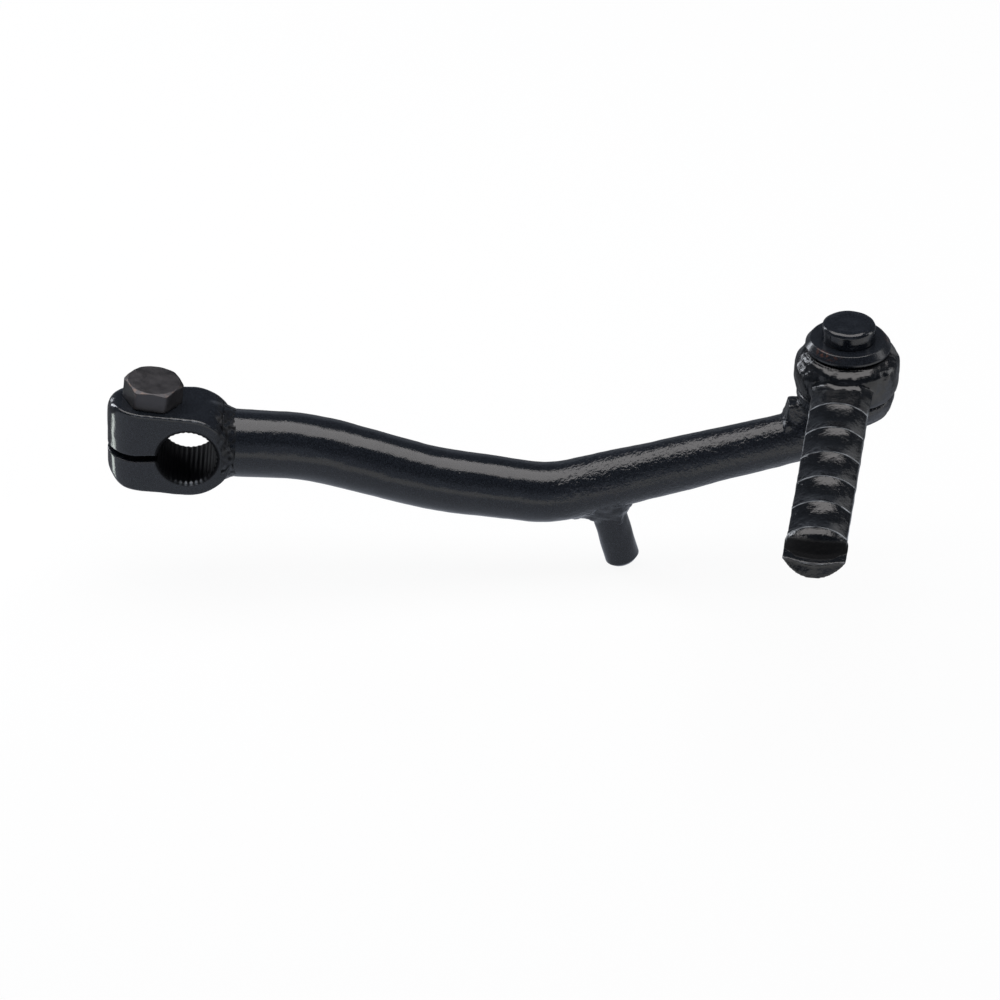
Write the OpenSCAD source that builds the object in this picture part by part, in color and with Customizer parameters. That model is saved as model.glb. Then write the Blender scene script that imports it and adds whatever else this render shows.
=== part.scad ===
// Kick start lever of a small motorcycle: a split clamp head on the serrated starter shaft,
// a bent round arm with a stop peg, and a ribbed pedal that folds about an upright pin.
// Origin: centre of the shaft bore, +Y along the bore to the engine, +X to the pedal, +Z up.
// Millimetres and degrees throughout.

/* [Shaft bore] */
// Radius at the tips of the serration teeth
bore_tip_r = 6.95; // [6:0.05:8]
// Depth of a serration tooth
tooth_depth = 0.5; // [0.3:0.05:0.7]
// Number of serration teeth
tooth_count = 36; // [24:1:44]
// Width of the flat on the tip of a tooth
tooth_land = 0.4; // [0.3:0.05:0.5]
// Depth of the lead-in chamfer at both ends of the bore
bore_chamfer = 0.6; // [0.3:0.1:1]

/* [Clamp head] */
// Radius of the round eye about the bore
head_r = 11; // [10:0.1:12]
// Thickness of the head along the bore
head_w = 17; // [14:0.5:20]
// Dip of the head's top towards the arm
head_tilt = 7.5; // [0:0.5:15]
// Distance of the round end's axis from the bore axis
end_offset = 11.4; // [10.9:0.1:14]
// Lean of the round end against the head
end_lean = 3.5; // [0:0.5:8]
// Radius on the edges of the forging
head_edge = 1.2; // [0.6:0.1:2]
// Width of the slot that the bolt closes
slot_w = 1.9; // [1:0.1:3]

/* [Pinch bolt] */
// Thread diameter of the bolt
bolt_d = 8; // [6:1:8]
// Distance of the bolt axis from the bore axis
bolt_offset = 11.6; // [11.6:0.1:13]
// Lean of the bolt axis towards the arm
bolt_lean = 12; // [0:0.5:15]
// Length of the bolt under its head
bolt_l = 20; // [16:1:24]
// Width of the hexagon across its flats
bolt_af = 13; // [10:0.5:13]
// Height of the bolt head
bolt_head_h = 5.3; // [4:0.1:6.5]
// Turn of the hexagon about the bolt axis
bolt_turn = -4; // [-30:1:30]
// Added to the bolt diameter for the plain hole in the upper ear
bolt_play = 0.2; // [0.1:0.1:0.2]

/* [Arm] */
// Radius of the arm at the clamp head
arm_r_head = 8.35; // [7:0.05:9]
// Radius at the first bend
arm_r_first = 8.2; // [7:0.05:9]
// Radius at the middle bend
arm_r_middle = 7.85; // [6.5:0.05:8.5]
// Radius at the low bend
arm_r_low = 7.5; // [6:0.05:8]
// Radius where the arm meets the eye
arm_r_eye = 6.15; // [5:0.05:7]
// Radius of the first bend's centre line
bend_first = 60; // [30:5:80]
// Radius of the middle bend's centre line
bend_middle = 80; // [40:5:120]
// Radius of the low bend's centre line
bend_low = 28; // [20:1:40]

/* [Stop peg] */
// Diameter of the stop peg
peg_d = 8.6; // [6:0.1:10]
// Length of the peg from the arm's centre line
peg_l = 24; // [18:0.5:30]
// Distance of the peg from the low bend along the arm
peg_from_bend = 12.7; // [10:0.1:30]
// Chamfer at the free end of the peg
peg_chamfer = 0.7; // [0.3:0.1:1.5]

/* [Pivot] */
// Distance of the pivot axis from the bore axis
pivot_x = 160.4; // [150:0.1:170]
// Height of the eye's upper face above the bore axis
eye_top = 12.9; // [11:0.1:15]
// Thickness of the eye
eye_t = 5.4; // [4:0.1:6]
// Radius of the eye
eye_r = 11.3; // [10:0.1:12]
// Height of the lip round the underside of the eye
eye_lip = 1.1; // [0.5:0.1:1.5]
// Diameter of the pivot pin
pin_d = 10; // [8:0.1:11]
// Radial running clearance of the pedal on the pin
pin_play = 0.07; // [0.03:0.01:0.1]
// Radius of the pin's round head
pin_head_r = 6.5; // [5.8:0.1:8]
// Height of the pin's round head
pin_head_h = 4.3; // [2:0.1:5]
// Radius of the washer under the pin's head
washer_r = 10.4; // [9:0.1:12]
// Thickness of the washer
washer_t = 2.8; // [1:0.1:4]
// Height of the stop lug's top above the bore axis
lug_top = 9.1; // [8:0.1:11]
// Width of the stop lug across the arm
lug_w = 5; // [3:0.5:8]

/* [Pedal] */
// Height of the pedal's boss on the pin
boss_h = 10.8; // [9:0.1:13]
// Radius of the boss at its parting line
boss_r = 13; // [12:0.1:14]
// Running gap of the boss at its lower and upper face
boss_gap = 0.3; // [0.1:0.05:0.4]
// Turn of the open pedal from square to the arm
pedal_turn = 10.6; // [0:0.2:20]
// Reach of the grip from the pin axis to its tip
grip_reach = 85; // [75:0.5:95]
// Width of the grip
grip_w = 14.2; // [12:0.1:16]
// Width of the flange at the tip
flange_w = 14.6; // [13:0.1:17]
// Rise of the grip's rib crests above the parting line
grip_rise = 4.2; // [3:0.1:5.5]
// Drop of the grip's plain underside below the parting line
grip_drop = 4.1; // [3:0.1:5]
// Number of ribs across the grip
rib_count = 6; // [4:1:7]
// Spacing of the ribs
rib_pitch = 10.6; // [8:0.1:11]
// Depth of the hollows between the ribs
rib_depth = 1.4; // [0.6:0.1:1.8]
// Distance of the first rib's crest from the pin axis
rib_first = 23; // [21:0.5:26]

/* [Detent] */
// Angle by which the pedal folds from open to its place along the arm
fold_angle = 80; // [60:1:90]
// Diameter of the detent ball
ball_d = 5; // [4:0.1:5.5]
// Distance of the ball from the pin axis
ball_offset = 8.5; // [8.4:0.1:8.8]
// Depth of the track that the ball runs in
track_depth = 0.8; // [0.4:0.1:1]
// Turns of the detent spring
spring_turns = 4; // [3:1:6]
// Wire diameter of the detent spring
spring_wire = 0.6; // [0.4:0.05:0.7]

/* [Welds] */
// Length of the weld bead round the joint of head and arm
bead_l = 6; // [5:0.1:9]
// Half of that bead's thickness
bead_t = 1.1; // [1:0.1:2.5]
// Reach of the weld round the root of the peg, beyond the peg's side
peg_bead = 2.6; // [1.5:0.1:4]
// Length by which that weld runs out along the arm
peg_runout = 4; // [2:0.5:6]

/* [Hidden] */
$fn = 72;
// Overshoot of a cutting body past the face that it opens
past = 1;
hull_fn = 32;

// Arm: corners of the centre line as [x, z], with the radius of the bar and of the bend at each
arm_start = [11.5, -0.95];
arm_end = [150, -1];
arm_corners = [arm_start, [29, -2.2], [60, -12.4], [88.6, -17.3], arm_end];
arm_radii = [arm_r_head, arm_r_first, arm_r_middle, arm_r_low, arm_r_eye];
arm_bends = [0, bend_first, bend_middle, bend_low, 0];
neck_l = 2;
// Each straight laps over the bends beside it, and is thicker by a hair
lap = 0.3;
lap_r = 0.01;

// Bore and clamp head
bore_root_r = bore_tip_r + tooth_depth;
end_r = head_w / 2;
bolt_r = bolt_d / 2;
seat_z = head_r - 0.4;

// Pivot stack, upwards from the eye
eye_bottom = eye_top - eye_t;
boss_bottom = eye_top + boss_gap;
boss_top = boss_bottom + boss_h;
washer_bottom = boss_top + boss_gap / 3;
washer_top = washer_bottom + washer_t;
pin_r = pin_d / 2;
parting_z = boss_bottom + boss_h / 2 - 0.2;
peen_h = 1.5;
peen_r = pin_r + 1;

// Grip: both faces are round in section, cut off at the width of the grip
lens_half_w = grip_w / 2 + 0.9;
top_round = (pow(lens_half_w, 2) + pow(grip_rise, 2)) / (2 * grip_rise);
under_half_w = flange_w / 2 + 0.2;
under_round = (pow(under_half_w, 2) + pow(grip_drop, 2)) / (2 * grip_drop);
rib_last = rib_first + (rib_count - 1) * rib_pitch;
rib_rise_share = 0.22;
rib_steps = 14;
tip_bulge = 1.7;
flange_step = 1.2;

// Detent: a ball and a spring in a blind hole of the boss
ball_r = ball_d / 2;
ball_play = 0.1;
ball_z = eye_top - track_depth + ball_r + 0.02;
well_top = boss_bottom + 8;
seat_more = 0.25;

// Unit direction from point a to point b
function heading(a, b) = (b - a) / norm(b - a);
// Angle of that direction above the x axis
function slope(a, b) = atan2(b[1] - a[1], b[0] - a[0]);
// Turn of the centre line at corner i
function turn_at(i) = slope(arm_corners[i], arm_corners[i + 1]) - slope(arm_corners[i - 1], arm_corners[i]);
// Length that the bend at corner i takes from each of its two straights
function tangent_at(i) =
    (i == 0 || i == len(arm_corners) - 1) ? 0 : arm_bends[i] * tan(abs(turn_at(i)) / 2);

// Places its children at [x, z], with their z axis along the direction of angle a in the xz plane
module along(point, a) {
    translate([point[0], 0, point[1]])
        rotate([0, 90 - a, 0])
            children();
}

// A disc about the z axis whose two rims are rounded, centred on its half height
module round_disc(r, h, edge) {
    rotate_extrude($fn = hull_fn)
        intersection() {
            offset(r = edge, $fn = 16)
                offset(delta = -edge)
                    translate([-r, -h / 2])
                        square([2 * r, h]);
            translate([0, -h / 2])
                square([r, h]);
        }
}

// Section of the serrated bore: flat-tipped teeth that point inwards
module serration_section() {
    pitch = 360 / tooth_count;
    land = asin(tooth_land / 2 / bore_tip_r);
    difference() {
        circle(r = bore_root_r);
        for (i = [0 : tooth_count - 1])
            rotate((i + 0.5) * pitch)
                difference() {
                    polygon([
                        [bore_tip_r * cos(land) - 0.2, -bore_tip_r * sin(land)],
                        [bore_root_r + 0.1, -bore_root_r * sin(pitch * 0.46)],
                        [bore_root_r + 0.1, bore_root_r * sin(pitch * 0.46)],
                        [bore_tip_r * cos(land) - 0.2, bore_tip_r * sin(land)]
                    ]);
                    circle(r = bore_tip_r);
                }
    }
}

// The serrated hole along y, with a chamfer at each end
module shaft_bore() {
    rotate([90, 0, 0])
        translate([0, 0, -head_w / 2 - past])
            linear_extrude(head_w + 2 * past)
                serration_section();
    for (side = [-1, 1])
        rotate([90 * side, 0, 0])
            translate([0, 0, head_w / 2 - bore_chamfer])
                cylinder(h = bore_chamfer + past, r1 = bore_root_r - bore_chamfer,
                         r2 = bore_root_r + past);
}

// Places its children in the frame of the tilted head, with its origin at the bore
module head_frame() {
    rotate([0, head_tilt, 0])
        children();
}

// Places its children on the bolt's axis, z along it towards its head
module bolt_frame() {
    rotate([0, bolt_lean, 0])
        translate([-bolt_offset, 0, 0])
            children();
}

// Outer form of the head: an eye round the bore, a round end for the bolt and a short neck
module head_shell() {
    hull() {
        head_frame() {
            rotate([90, 0, 0])
                round_disc(head_r, head_w, head_edge);
            translate([-end_offset, 0, 0])
                rotate([0, -end_lean, 0])
                    round_disc(end_r, 2 * head_r, head_edge);
        }
        along(arm_start, slope(arm_corners[0], arm_corners[1]))
            translate([0, 0, -neck_l])
                cylinder(h = neck_l, r = arm_r_head, $fn = hull_fn);
    }
}

// Forged clamp head with its bore, slot and bolt hole
module clamp_head() {
    color([0.08, 0.09, 0.1])
        difference() {
            head_shell();
            shaft_bore();
            // Slot from the round end into the bore
            translate([-end_offset - end_r - past * 2, -end_r - past, -slot_w / 2])
                cube([end_offset + end_r + past * 2, head_w + 2 * past, slot_w]);
            // Flat seat of the bolt head, plain hole above the slot and thread below it
            bolt_frame() {
                translate([0, 0, seat_z])
                    cylinder(h = 5, r = bolt_af / 2 + 0.6);
                cylinder(h = head_r + past, r = bolt_r + bolt_play / 2);
                translate([0, 0, -head_r - 2 * past])
                    cylinder(h = head_r + 2 * past + 0.01, r = bolt_r);
            }
        }
}

// Hexagon bolt that closes the clamp, screwed into the lower ear
module pinch_bolt() {
    corner_r = bolt_af / 2 / cos(30);
    bevel = (corner_r - bolt_af / 2) * tan(30);
    color([0.3, 0.28, 0.27])
        bolt_frame()
            translate([0, 0, seat_z]) {
                intersection() {
                    rotate([0, 0, bolt_turn])
                        cylinder(h = bolt_head_h, r = corner_r, $fn = 6);
                    rotate_extrude()
                        polygon([
                            [0, 0], [corner_r + 1, 0], [corner_r + 1, bolt_head_h - bevel - tan(30)],
                            [bolt_af / 2 - 0.2, bolt_head_h], [0, bolt_head_h]
                        ]);
                }
                rotate_extrude()
                    polygon([
                        [0, 0.1], [0, -bolt_l], [bolt_r - 0.8, -bolt_l], [bolt_r, -bolt_l + 0.8],
                        [bolt_r, 0.1]
                    ]);
            }
}

// Tapered straight of the arm after corner i, drawn out backwards past its first bend
module straight(i, back = 0) {
    a = arm_corners[i];
    b = arm_corners[i + 1];
    from = a + heading(a, b) * (tangent_at(i) - (i > 0 ? lap : 0));
    to = b - heading(a, b) * (tangent_at(i + 1) - (i < len(arm_corners) - 2 ? lap : 0));
    taper = (arm_radii[i] - arm_radii[i + 1]) / norm(to - from);
    along(from - heading(a, b) * back, slope(a, b))
        cylinder(h = norm(to - from) + back, r1 = arm_radii[i] + lap_r + taper * back,
                 r2 = arm_radii[i + 1] + lap_r);
}

// The arm's bar: tapered straights with a round bend between each two
module arm_rod() {
    last = len(arm_corners) - 1;
    for (i = [0 : last - 1])
        straight(i);
    for (i = [1 : last - 1]) {
        turn = turn_at(i);
        side = sign(turn);
        before = slope(arm_corners[i - 1], arm_corners[i]);
        from = arm_corners[i] - heading(arm_corners[i - 1], arm_corners[i]) * tangent_at(i);
        centre = from + arm_bends[i] * side * [-sin(before), cos(before)];
        translate([centre[0], 0, centre[1]])
            rotate([90, 0, 0])
                rotate([0, 0, side > 0 ? before - 90 : before + turn + 90])
                    rotate_extrude(angle = abs(turn))
                        translate([arm_bends[i], 0])
                            circle(r = arm_radii[i]);
    }
}

// Pin hole, flared below where the pin is peened over
module pin_hole() {
    translate([pivot_x, 0, 0]) {
        translate([0, 0, eye_bottom - past])
            cylinder(h = eye_t + 2 * past, r = pin_r);
        translate([0, 0, eye_bottom])
            cylinder(h = peen_h, r1 = peen_r, r2 = pin_r);
        // Room for the peening tool beside the arm's end
        translate([0, 0, eye_bottom - 20])
            cylinder(h = 20, r = peen_r + 0.8);
    }
}

// Forged arm: bent round bar that ends in the flat eye for the pedal, with a stop lug
module arm_bar() {
    end_dir = slope(arm_corners[3], arm_corners[4]);
    web_x = pivot_x - 5.4;
    color([0.05, 0.055, 0.06])
        difference() {
            union() {
                arm_rod();
                // Eye with a lip round its underside
                translate([pivot_x, 0, 0])
                    rotate_extrude()
                        polygon([
                            [0, eye_bottom], [eye_r - 0.9, eye_bottom], [eye_r - 0.4, eye_bottom + 0.4],
                            [eye_r - 0.4, eye_bottom + eye_lip], [eye_r, eye_bottom + eye_lip + 0.3],
                            [eye_r, eye_top - 0.4], [eye_r - 0.4, eye_top], [0, eye_top]
                        ]);
                // Web from the bar's end up to the eye
                hull() {
                    along(arm_end, end_dir) {
                        translate([0, 0, -1])
                            cylinder(h = 1.5, r = arm_r_eye, $fn = hull_fn);
                        translate([0, 0, 3])
                            cylinder(h = 0.5, r = arm_r_eye - 1.5, $fn = hull_fn);
                    }
                    translate([web_x, 0, eye_bottom + 0.2])
                        cylinder(h = eye_lip, r = 5.6, $fn = hull_fn);
                }
                // Stop lug, an upright tooth beside the eye
                rotate([90, 0, 0])
                    translate([0, 0, -lug_w / 2])
                        linear_extrude(lug_w)
                            polygon([
                                [arm_end[0] - 4.2, 0], [arm_end[0] - 3.7, 6], [arm_end[0] - 3.3, lug_top],
                                [arm_end[0] - 1.4, lug_top], [arm_end[0] - 0.4, 7.8], [arm_end[0] + 1, 7.6],
                                [arm_end[0] + 1, 0]
                            ]);
            }
            pin_hole();
            detent_track();
        }
}

// Track of the detent ball in the eye's upper face, with a deeper seat at each end of the fold
module detent_track() {
    translate([pivot_x, 0, ball_z])
        rotate([0, 0, 90 - pedal_turn - fold_angle])
            rotate_extrude(angle = fold_angle)
                translate([ball_offset, 0])
                    circle(r = ball_r + 0.02);
    for (turn = [0, fold_angle])
        translate([pivot_x, 0, ball_z])
            rotate([0, 0, 90 - pedal_turn - turn])
                translate([ball_offset, 0, 0])
                    sphere(r = ball_r + seat_more);
}

// Places its children on the arm at the peg's root, z along the peg towards its tip
module peg_frame() {
    a = arm_corners[3];
    dir = heading(arm_corners[3], arm_corners[4]);
    root = a + dir * peg_from_bend;
    along(root, slope(arm_corners[3], arm_corners[4]) - 90)
        children();
}

// Round stop peg, square to the arm and coped to its underside
module stop_peg() {
    color([0.06, 0.065, 0.07])
        difference() {
            peg_frame()
                cylinder(h = peg_l, r = peg_d / 2);
            straight(3);
            peg_frame()
                difference() {
                    translate([0, 0, peg_l - peg_chamfer])
                        cylinder(h = peg_chamfer + past, r = peg_d);
                    translate([0, 0, peg_l - peg_chamfer])
                        cylinder(h = peg_chamfer, r1 = peg_d / 2, r2 = peg_d / 2 - peg_chamfer);
                }
        }
}

// Weld round the root of the peg, drawn out along the arm towards the clamp head
module peg_weld() {
    color([0.07, 0.075, 0.08])
        difference() {
            peg_frame() {
                translate([0, 0, arm_r_low - 3])
                    cylinder(h = peg_bead + 3.5, r1 = peg_d / 2 + peg_bead + 0.7, r2 = peg_d / 2 + 0.4);
                translate([peg_d / 4, 0, arm_r_low - 0.4])
                    rotate([0, 90, 0])
                        cylinder(h = peg_d / 2 + peg_runout, r1 = 3.2, r2 = 0.9);
            }
            straight(3, peg_d + peg_runout);
            peg_frame()
                cylinder(h = peg_l, r = peg_d / 2);
        }
}

// Weld bead round the joint between the neck of the head and the arm
module clamp_weld() {
    color([0.07, 0.075, 0.08])
        difference() {
            along(arm_start, slope(arm_corners[0], arm_corners[1]))
                rotate_extrude()
                    translate([arm_r_head - 0.2, -bead_l / 10])
                        scale([2 * bead_t / bead_l, 1])
                            circle(r = bead_l / 2, $fn = 36);
            arm_rod();
            head_shell();
        }
}

// Pivot pin: round head, plain shank and an end peened into the eye
module pivot_pin() {
    color([0.1, 0.1, 0.11])
        translate([pivot_x, 0, 0])
            rotate_extrude()
                polygon([
                    [0, eye_bottom], [peen_r, eye_bottom], [pin_r, eye_bottom + peen_h], [pin_r, washer_top],
                    [pin_head_r, washer_top], [pin_head_r, washer_top + pin_head_h - 1.1],
                    [pin_head_r - 0.35, washer_top + pin_head_h - 0.4],
                    [pin_head_r - 1.1, washer_top + pin_head_h], [0, washer_top + pin_head_h - 0.1]
                ]);
}

// Thick washer under the pin's head, bevelled above and below its rim
module top_washer() {
    color([0.12, 0.11, 0.1])
        translate([pivot_x, 0, 0])
            rotate_extrude()
                polygon([
                    [pin_r, washer_bottom], [washer_r - 0.5, washer_bottom], [washer_r, washer_bottom + 0.9],
                    [washer_r, washer_bottom + 1.5], [washer_r - 1, washer_top - 0.15],
                    [washer_r - 1.4, washer_top], [pin_r, washer_top]
                ]);
}

// Depth of the grip's hollows at a reach s: long slope away from a crest, short rise to the next
function hollow(s) =
    let (f = (s - rib_first) / rib_pitch, share = f - floor(f), fall = 1 - rib_rise_share)
        share < fall ? (1 - cos(180 * share / fall)) / 2 : (1 + cos(180 * (share - fall) / rib_rise_share)) / 2;
// Radius of the grip's upper round at a reach s, level beyond the last crest
function wave(s) = top_round - rib_depth * (s > rib_last ? 0 : hollow(s));

// Ribbed upper round of the grip, as a solid of revolution about a line below the ribs
module grip_top() {
    from = rib_first - rib_pitch * (1 + rib_rise_share);
    steps = rib_steps * (rib_count + 1);
    stop = grip_reach + past * 3;
    reaches = [for (i = [0 : steps]) from + (rib_last - from) * i / steps];
    translate([0, 0, parting_z + grip_rise - top_round])
        rotate([90, 0, 0])
            rotate_extrude()
                polygon(concat(
                    [[0, 0], [wave(from), 0]],
                    [for (s = reaches) [wave(s), s]],
                    [[top_round, stop], [0, stop]]
                ));
}

// Outline of neck, grip and flange from above, with a slightly bulged tip
module grip_plan() {
    half = grip_w / 2;
    flange = flange_w / 2;
    tip_r = (pow(flange, 2) + pow(tip_bulge, 2)) / (2 * tip_bulge);
    intersection() {
        polygon([
            [-half - 0.4, 0], [-half, -rib_first], [-half + 0.3, -rib_last + 1], [-flange, -rib_last - flange_step],
            [-flange, -grip_reach], [flange, -grip_reach], [flange, -rib_last - flange_step],
            [half - 0.3, -rib_last + 1], [half, -rib_first], [half + 0.4, 0]
        ]);
        union() {
            translate([0, -grip_reach + tip_r])
                circle(r = tip_r, $fn = 180);
            translate([-flange, -grip_reach + tip_r])
                square([2 * flange, grip_reach]);
        }
    }
}

// Rounds the upper half of the tip down to the parting line
module tip_round() {
    flange = flange_w / 2;
    tip_r = (pow(flange, 2) + pow(tip_bulge, 2)) / (2 * tip_bulge);
    fall = 6;
    translate([0, -grip_reach + tip_r, 0])
        rotate_extrude($fn = 180)
            polygon(concat(
                [[0, parting_z - 10], [tip_r, parting_z - 10]],
                [for (i = [0 : 12]) let (a = i * 7.5)
                    [tip_r - fall * (1 - cos(a)), parting_z + (grip_rise + 0.4) * sin(a)]],
                [[0, parting_z + grip_rise + 0.4]]
            ));
    translate([0, 0, parting_z])
        translate([-20, -grip_reach + tip_r, -10])
            cube([40, grip_reach, 20]);
}

// Drafted boss of the pedal, widest at its parting line
module boss() {
    rotate_extrude()
        polygon([
            [0, boss_bottom], [boss_r - 1, boss_bottom], [boss_r - 0.5, boss_bottom + 0.6],
            [boss_r, parting_z], [boss_r - 0.4, boss_top - 3.4], [boss_r - 1.3, boss_top - 1.8],
            [boss_r - 3, boss_top], [0, boss_top]
        ]);
}

// Places its children in the pedal's frame: origin on the pin axis, the grip along -y
module pedal_frame() {
    translate([pivot_x, 0, 0])
        rotate([0, 0, -pedal_turn])
            children();
}

// Forged pedal: boss on the pin, neck and ribbed oval grip
module pedal() {
    color([0.06, 0.065, 0.07])
        pedal_frame()
            difference() {
                union() {
                    boss();
                    intersection() {
                        translate([0, 0, boss_bottom])
                            linear_extrude(boss_h)
                                grip_plan();
                        grip_top();
                        translate([0, past, parting_z - grip_drop + under_round])
                            rotate([90, 0, 0])
                                cylinder(h = grip_reach + 2 * past, r = under_round);
                        tip_round();
                    }
                }
                translate([0, 0, boss_bottom - past])
                    cylinder(h = boss_h + 2 * past, r = pin_r + pin_play);
                // Blind hole for ball and spring, drilled from below
                translate([0, ball_offset, boss_bottom - past])
                    cylinder(h = well_top - boss_bottom + past, r = ball_r + ball_play);
            }
}

// Ball that the spring presses into the track of the eye
module detent_ball() {
    color([0.6, 0.6, 0.62])
        pedal_frame()
            translate([0, ball_offset, ball_z])
                sphere(r = ball_r);
}

// Point of a coil's wire: round the coil by angle a, and round the wire by angle b
function coil_point(coil_r, wire_r, climb, a, b) = [
    (coil_r + wire_r * cos(b)) * cos(a),
    (coil_r + wire_r * cos(b)) * sin(a),
    climb * a / 360 + wire_r * sin(b)
];

// Round wire wound into a coil, as one closed skin of rings
module coil(coil_r, wire_r, climb, turns) {
    sides = 6;
    rings = 12 * turns;
    points = [for (i = [0 : rings], j = [0 : sides - 1])
        coil_point(coil_r, wire_r, climb, i * 360 * turns / rings, j * 360 / sides)];
    skin = [for (i = [0 : rings - 1], j = [0 : sides - 1])
        [i * sides + j, i * sides + (j + 1) % sides, (i + 1) * sides + (j + 1) % sides, (i + 1) * sides + j]];
    foot = [[for (j = [0 : sides - 1]) sides - 1 - j]];
    head = [[for (j = [0 : sides - 1]) rings * sides + j]];
    polyhedron(concat(points), concat(skin, foot, head));
}

// Coil spring between the ball and the bottom of its hole
module detent_spring() {
    wire_r = spring_wire / 2;
    coil_r = ball_r - wire_r - 0.35;
    low = ball_z + sqrt(pow(ball_r, 2) - pow(coil_r - wire_r, 2)) + 0.1;
    high = well_top - wire_r - 0.05;
    color([0.5, 0.5, 0.52])
        pedal_frame()
            translate([0, ball_offset, low])
                coil(coil_r, wire_r, (high - low) / spring_turns, spring_turns);
}

clamp_head();
pinch_bolt();
clamp_weld();
arm_bar();
stop_peg();
peg_weld();
pivot_pin();
top_washer();
pedal();
detent_ball();
detent_spring();
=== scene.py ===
import math

import bmesh
import bpy
import numpy as np
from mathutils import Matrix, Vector


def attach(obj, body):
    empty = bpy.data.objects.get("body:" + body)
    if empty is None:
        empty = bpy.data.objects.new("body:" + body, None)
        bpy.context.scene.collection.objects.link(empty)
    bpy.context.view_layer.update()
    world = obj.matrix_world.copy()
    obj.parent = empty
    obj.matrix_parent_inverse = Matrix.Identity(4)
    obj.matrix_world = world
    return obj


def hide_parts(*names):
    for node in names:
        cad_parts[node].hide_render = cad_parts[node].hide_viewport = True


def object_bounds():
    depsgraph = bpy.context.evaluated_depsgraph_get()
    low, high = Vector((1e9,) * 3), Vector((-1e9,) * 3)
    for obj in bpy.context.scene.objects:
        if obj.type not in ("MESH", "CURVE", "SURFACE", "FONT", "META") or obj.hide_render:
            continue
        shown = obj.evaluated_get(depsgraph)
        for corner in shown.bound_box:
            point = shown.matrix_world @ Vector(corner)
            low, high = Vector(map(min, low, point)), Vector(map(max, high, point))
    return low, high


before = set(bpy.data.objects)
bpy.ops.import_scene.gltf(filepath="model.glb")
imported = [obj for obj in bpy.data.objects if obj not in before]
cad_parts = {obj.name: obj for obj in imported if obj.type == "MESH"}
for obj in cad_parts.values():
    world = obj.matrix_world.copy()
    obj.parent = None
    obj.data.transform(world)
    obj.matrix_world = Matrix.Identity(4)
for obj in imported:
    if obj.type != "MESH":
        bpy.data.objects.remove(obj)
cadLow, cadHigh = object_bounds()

mm = 0.001
print("frame loaded:", sorted(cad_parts))


# sRGB hex to linear colour
def hexColour(code, alpha=1.0):
    values = [int(code[i:i + 2], 16) / 255 for i in (0, 2, 4)]
    return tuple(v / 12.92 if v <= 0.04045 else ((v + 0.055) / 1.055) ** 2.4 for v in values) + (alpha,)


# adds one node, sets its fields and its input values, and links sockets to its inputs
def addNode(tree, kind, fields=None, values=None, links=None):
    node = tree.nodes.new(kind)
    for name, value in (fields or {}).items():
        setattr(node, name, value)
    for name, value in (values or {}).items():
        node.inputs[name].default_value = value
    for name, socket in (links or {}).items():
        tree.links.new(socket, node.inputs[name])
    return node


def emptyMaterial(name):
    mat = bpy.data.materials.new(name)
    mat.use_nodes = True
    mat.node_tree.nodes.clear()
    return mat, mat.node_tree


# camera and light

view = {
    "place": (55.9, -830.7, 537.3),    # mm
    "target": (76.193, 0.0, -18.964),
    "lens": 145.44,                    # mm on a 36 mm sensor
    "sensor": 36,
    "clip": (0.05, 20),                # m
}
# place, size and aim of each lamp in m, then its radiance and colour
lamps = {
    "softboxAbove": ((-0.01, 0.09, 0.6), (1.02, 0.52), (-0.01, 0.09, 0), 3.2, "fffbfa"),
    "stripLeft": ((-0.5, 0.55, 0.2), (0.16, 0.6), (0.05, 0, 0), 7.0, "f4f8ff"),
    # small card beside the clamp, for the band on its round end
    "cardLeft": ((-0.064, 0.0135, -0.029), (0.013, 0.028), (-0.018, -0.005, -0.005), 5.0, "f2fbf5"),
    "stripRight": ((0.95, 0.05, 0.25), (0.25, 0.6), (0.1, 0, 0), 2.0, "ffffff"),
    # behind on the right, for the pedal's right flank alone
    "panelRight": ((0.72, 0.93, 0.15), (0.45, 0.6), (0.15, 0, 0), 0.42, "ffffff"),
}
light = {
    # what the lever mirrors of the room, by the direction's Y from -1 at the front to 1 at the back,
    # mapped to 0 to 1: a dark front, a grey back and a pale horizon
    "room": ((0.0, "a9b0bf"), (0.03, "9aa1b0"), (0.07, "60646e"), (0.14, "40444c"), (0.35, "40444c"),
             (0.6, "6a6d73"), (0.8, "45474c"), (0.92, "3e4046"), (0.965, "5a5e66"), (1.0, "878c95")),
    "floorHalf": 4.0,                  # m
    "floorGap": 0.3,                   # mm between the lowest point and the floor
    "floorColour": "f4f6f8",           # takes the shadow
    "floorGlow": 0.93,                 # share of the even glow over it, for camera and gloss
    "floorFront": "c0c6d2",            # what gloss sees of it in front, far in front and behind
    "floorFar": "ffffff",
    "floorBehind": "55585e",
    "behindStart": -0.01,              # Y where front turns to behind
    "behindEnd": 0.05,
    "farSkew": -0.4,                   # the far edge runs slantwise: Y + farSkew * X
    "farStart": -0.15,
    "farEnd": -0.1,
}


def makeCamera():
    cam = bpy.data.objects.new("photoCamera", bpy.data.cameras.new("photoCamera"))
    bpy.context.scene.collection.objects.link(cam)
    cam.location = Vector(view["place"]) * mm
    aim = Vector(view["target"]) * mm - cam.location
    cam.rotation_euler = aim.to_track_quat("-Z", "Y").to_euler()
    cam.data.lens = view["lens"]
    cam.data.sensor_width = view["sensor"]
    cam.data.clip_start, cam.data.clip_end = view["clip"]
    bpy.context.scene.camera = cam


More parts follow.
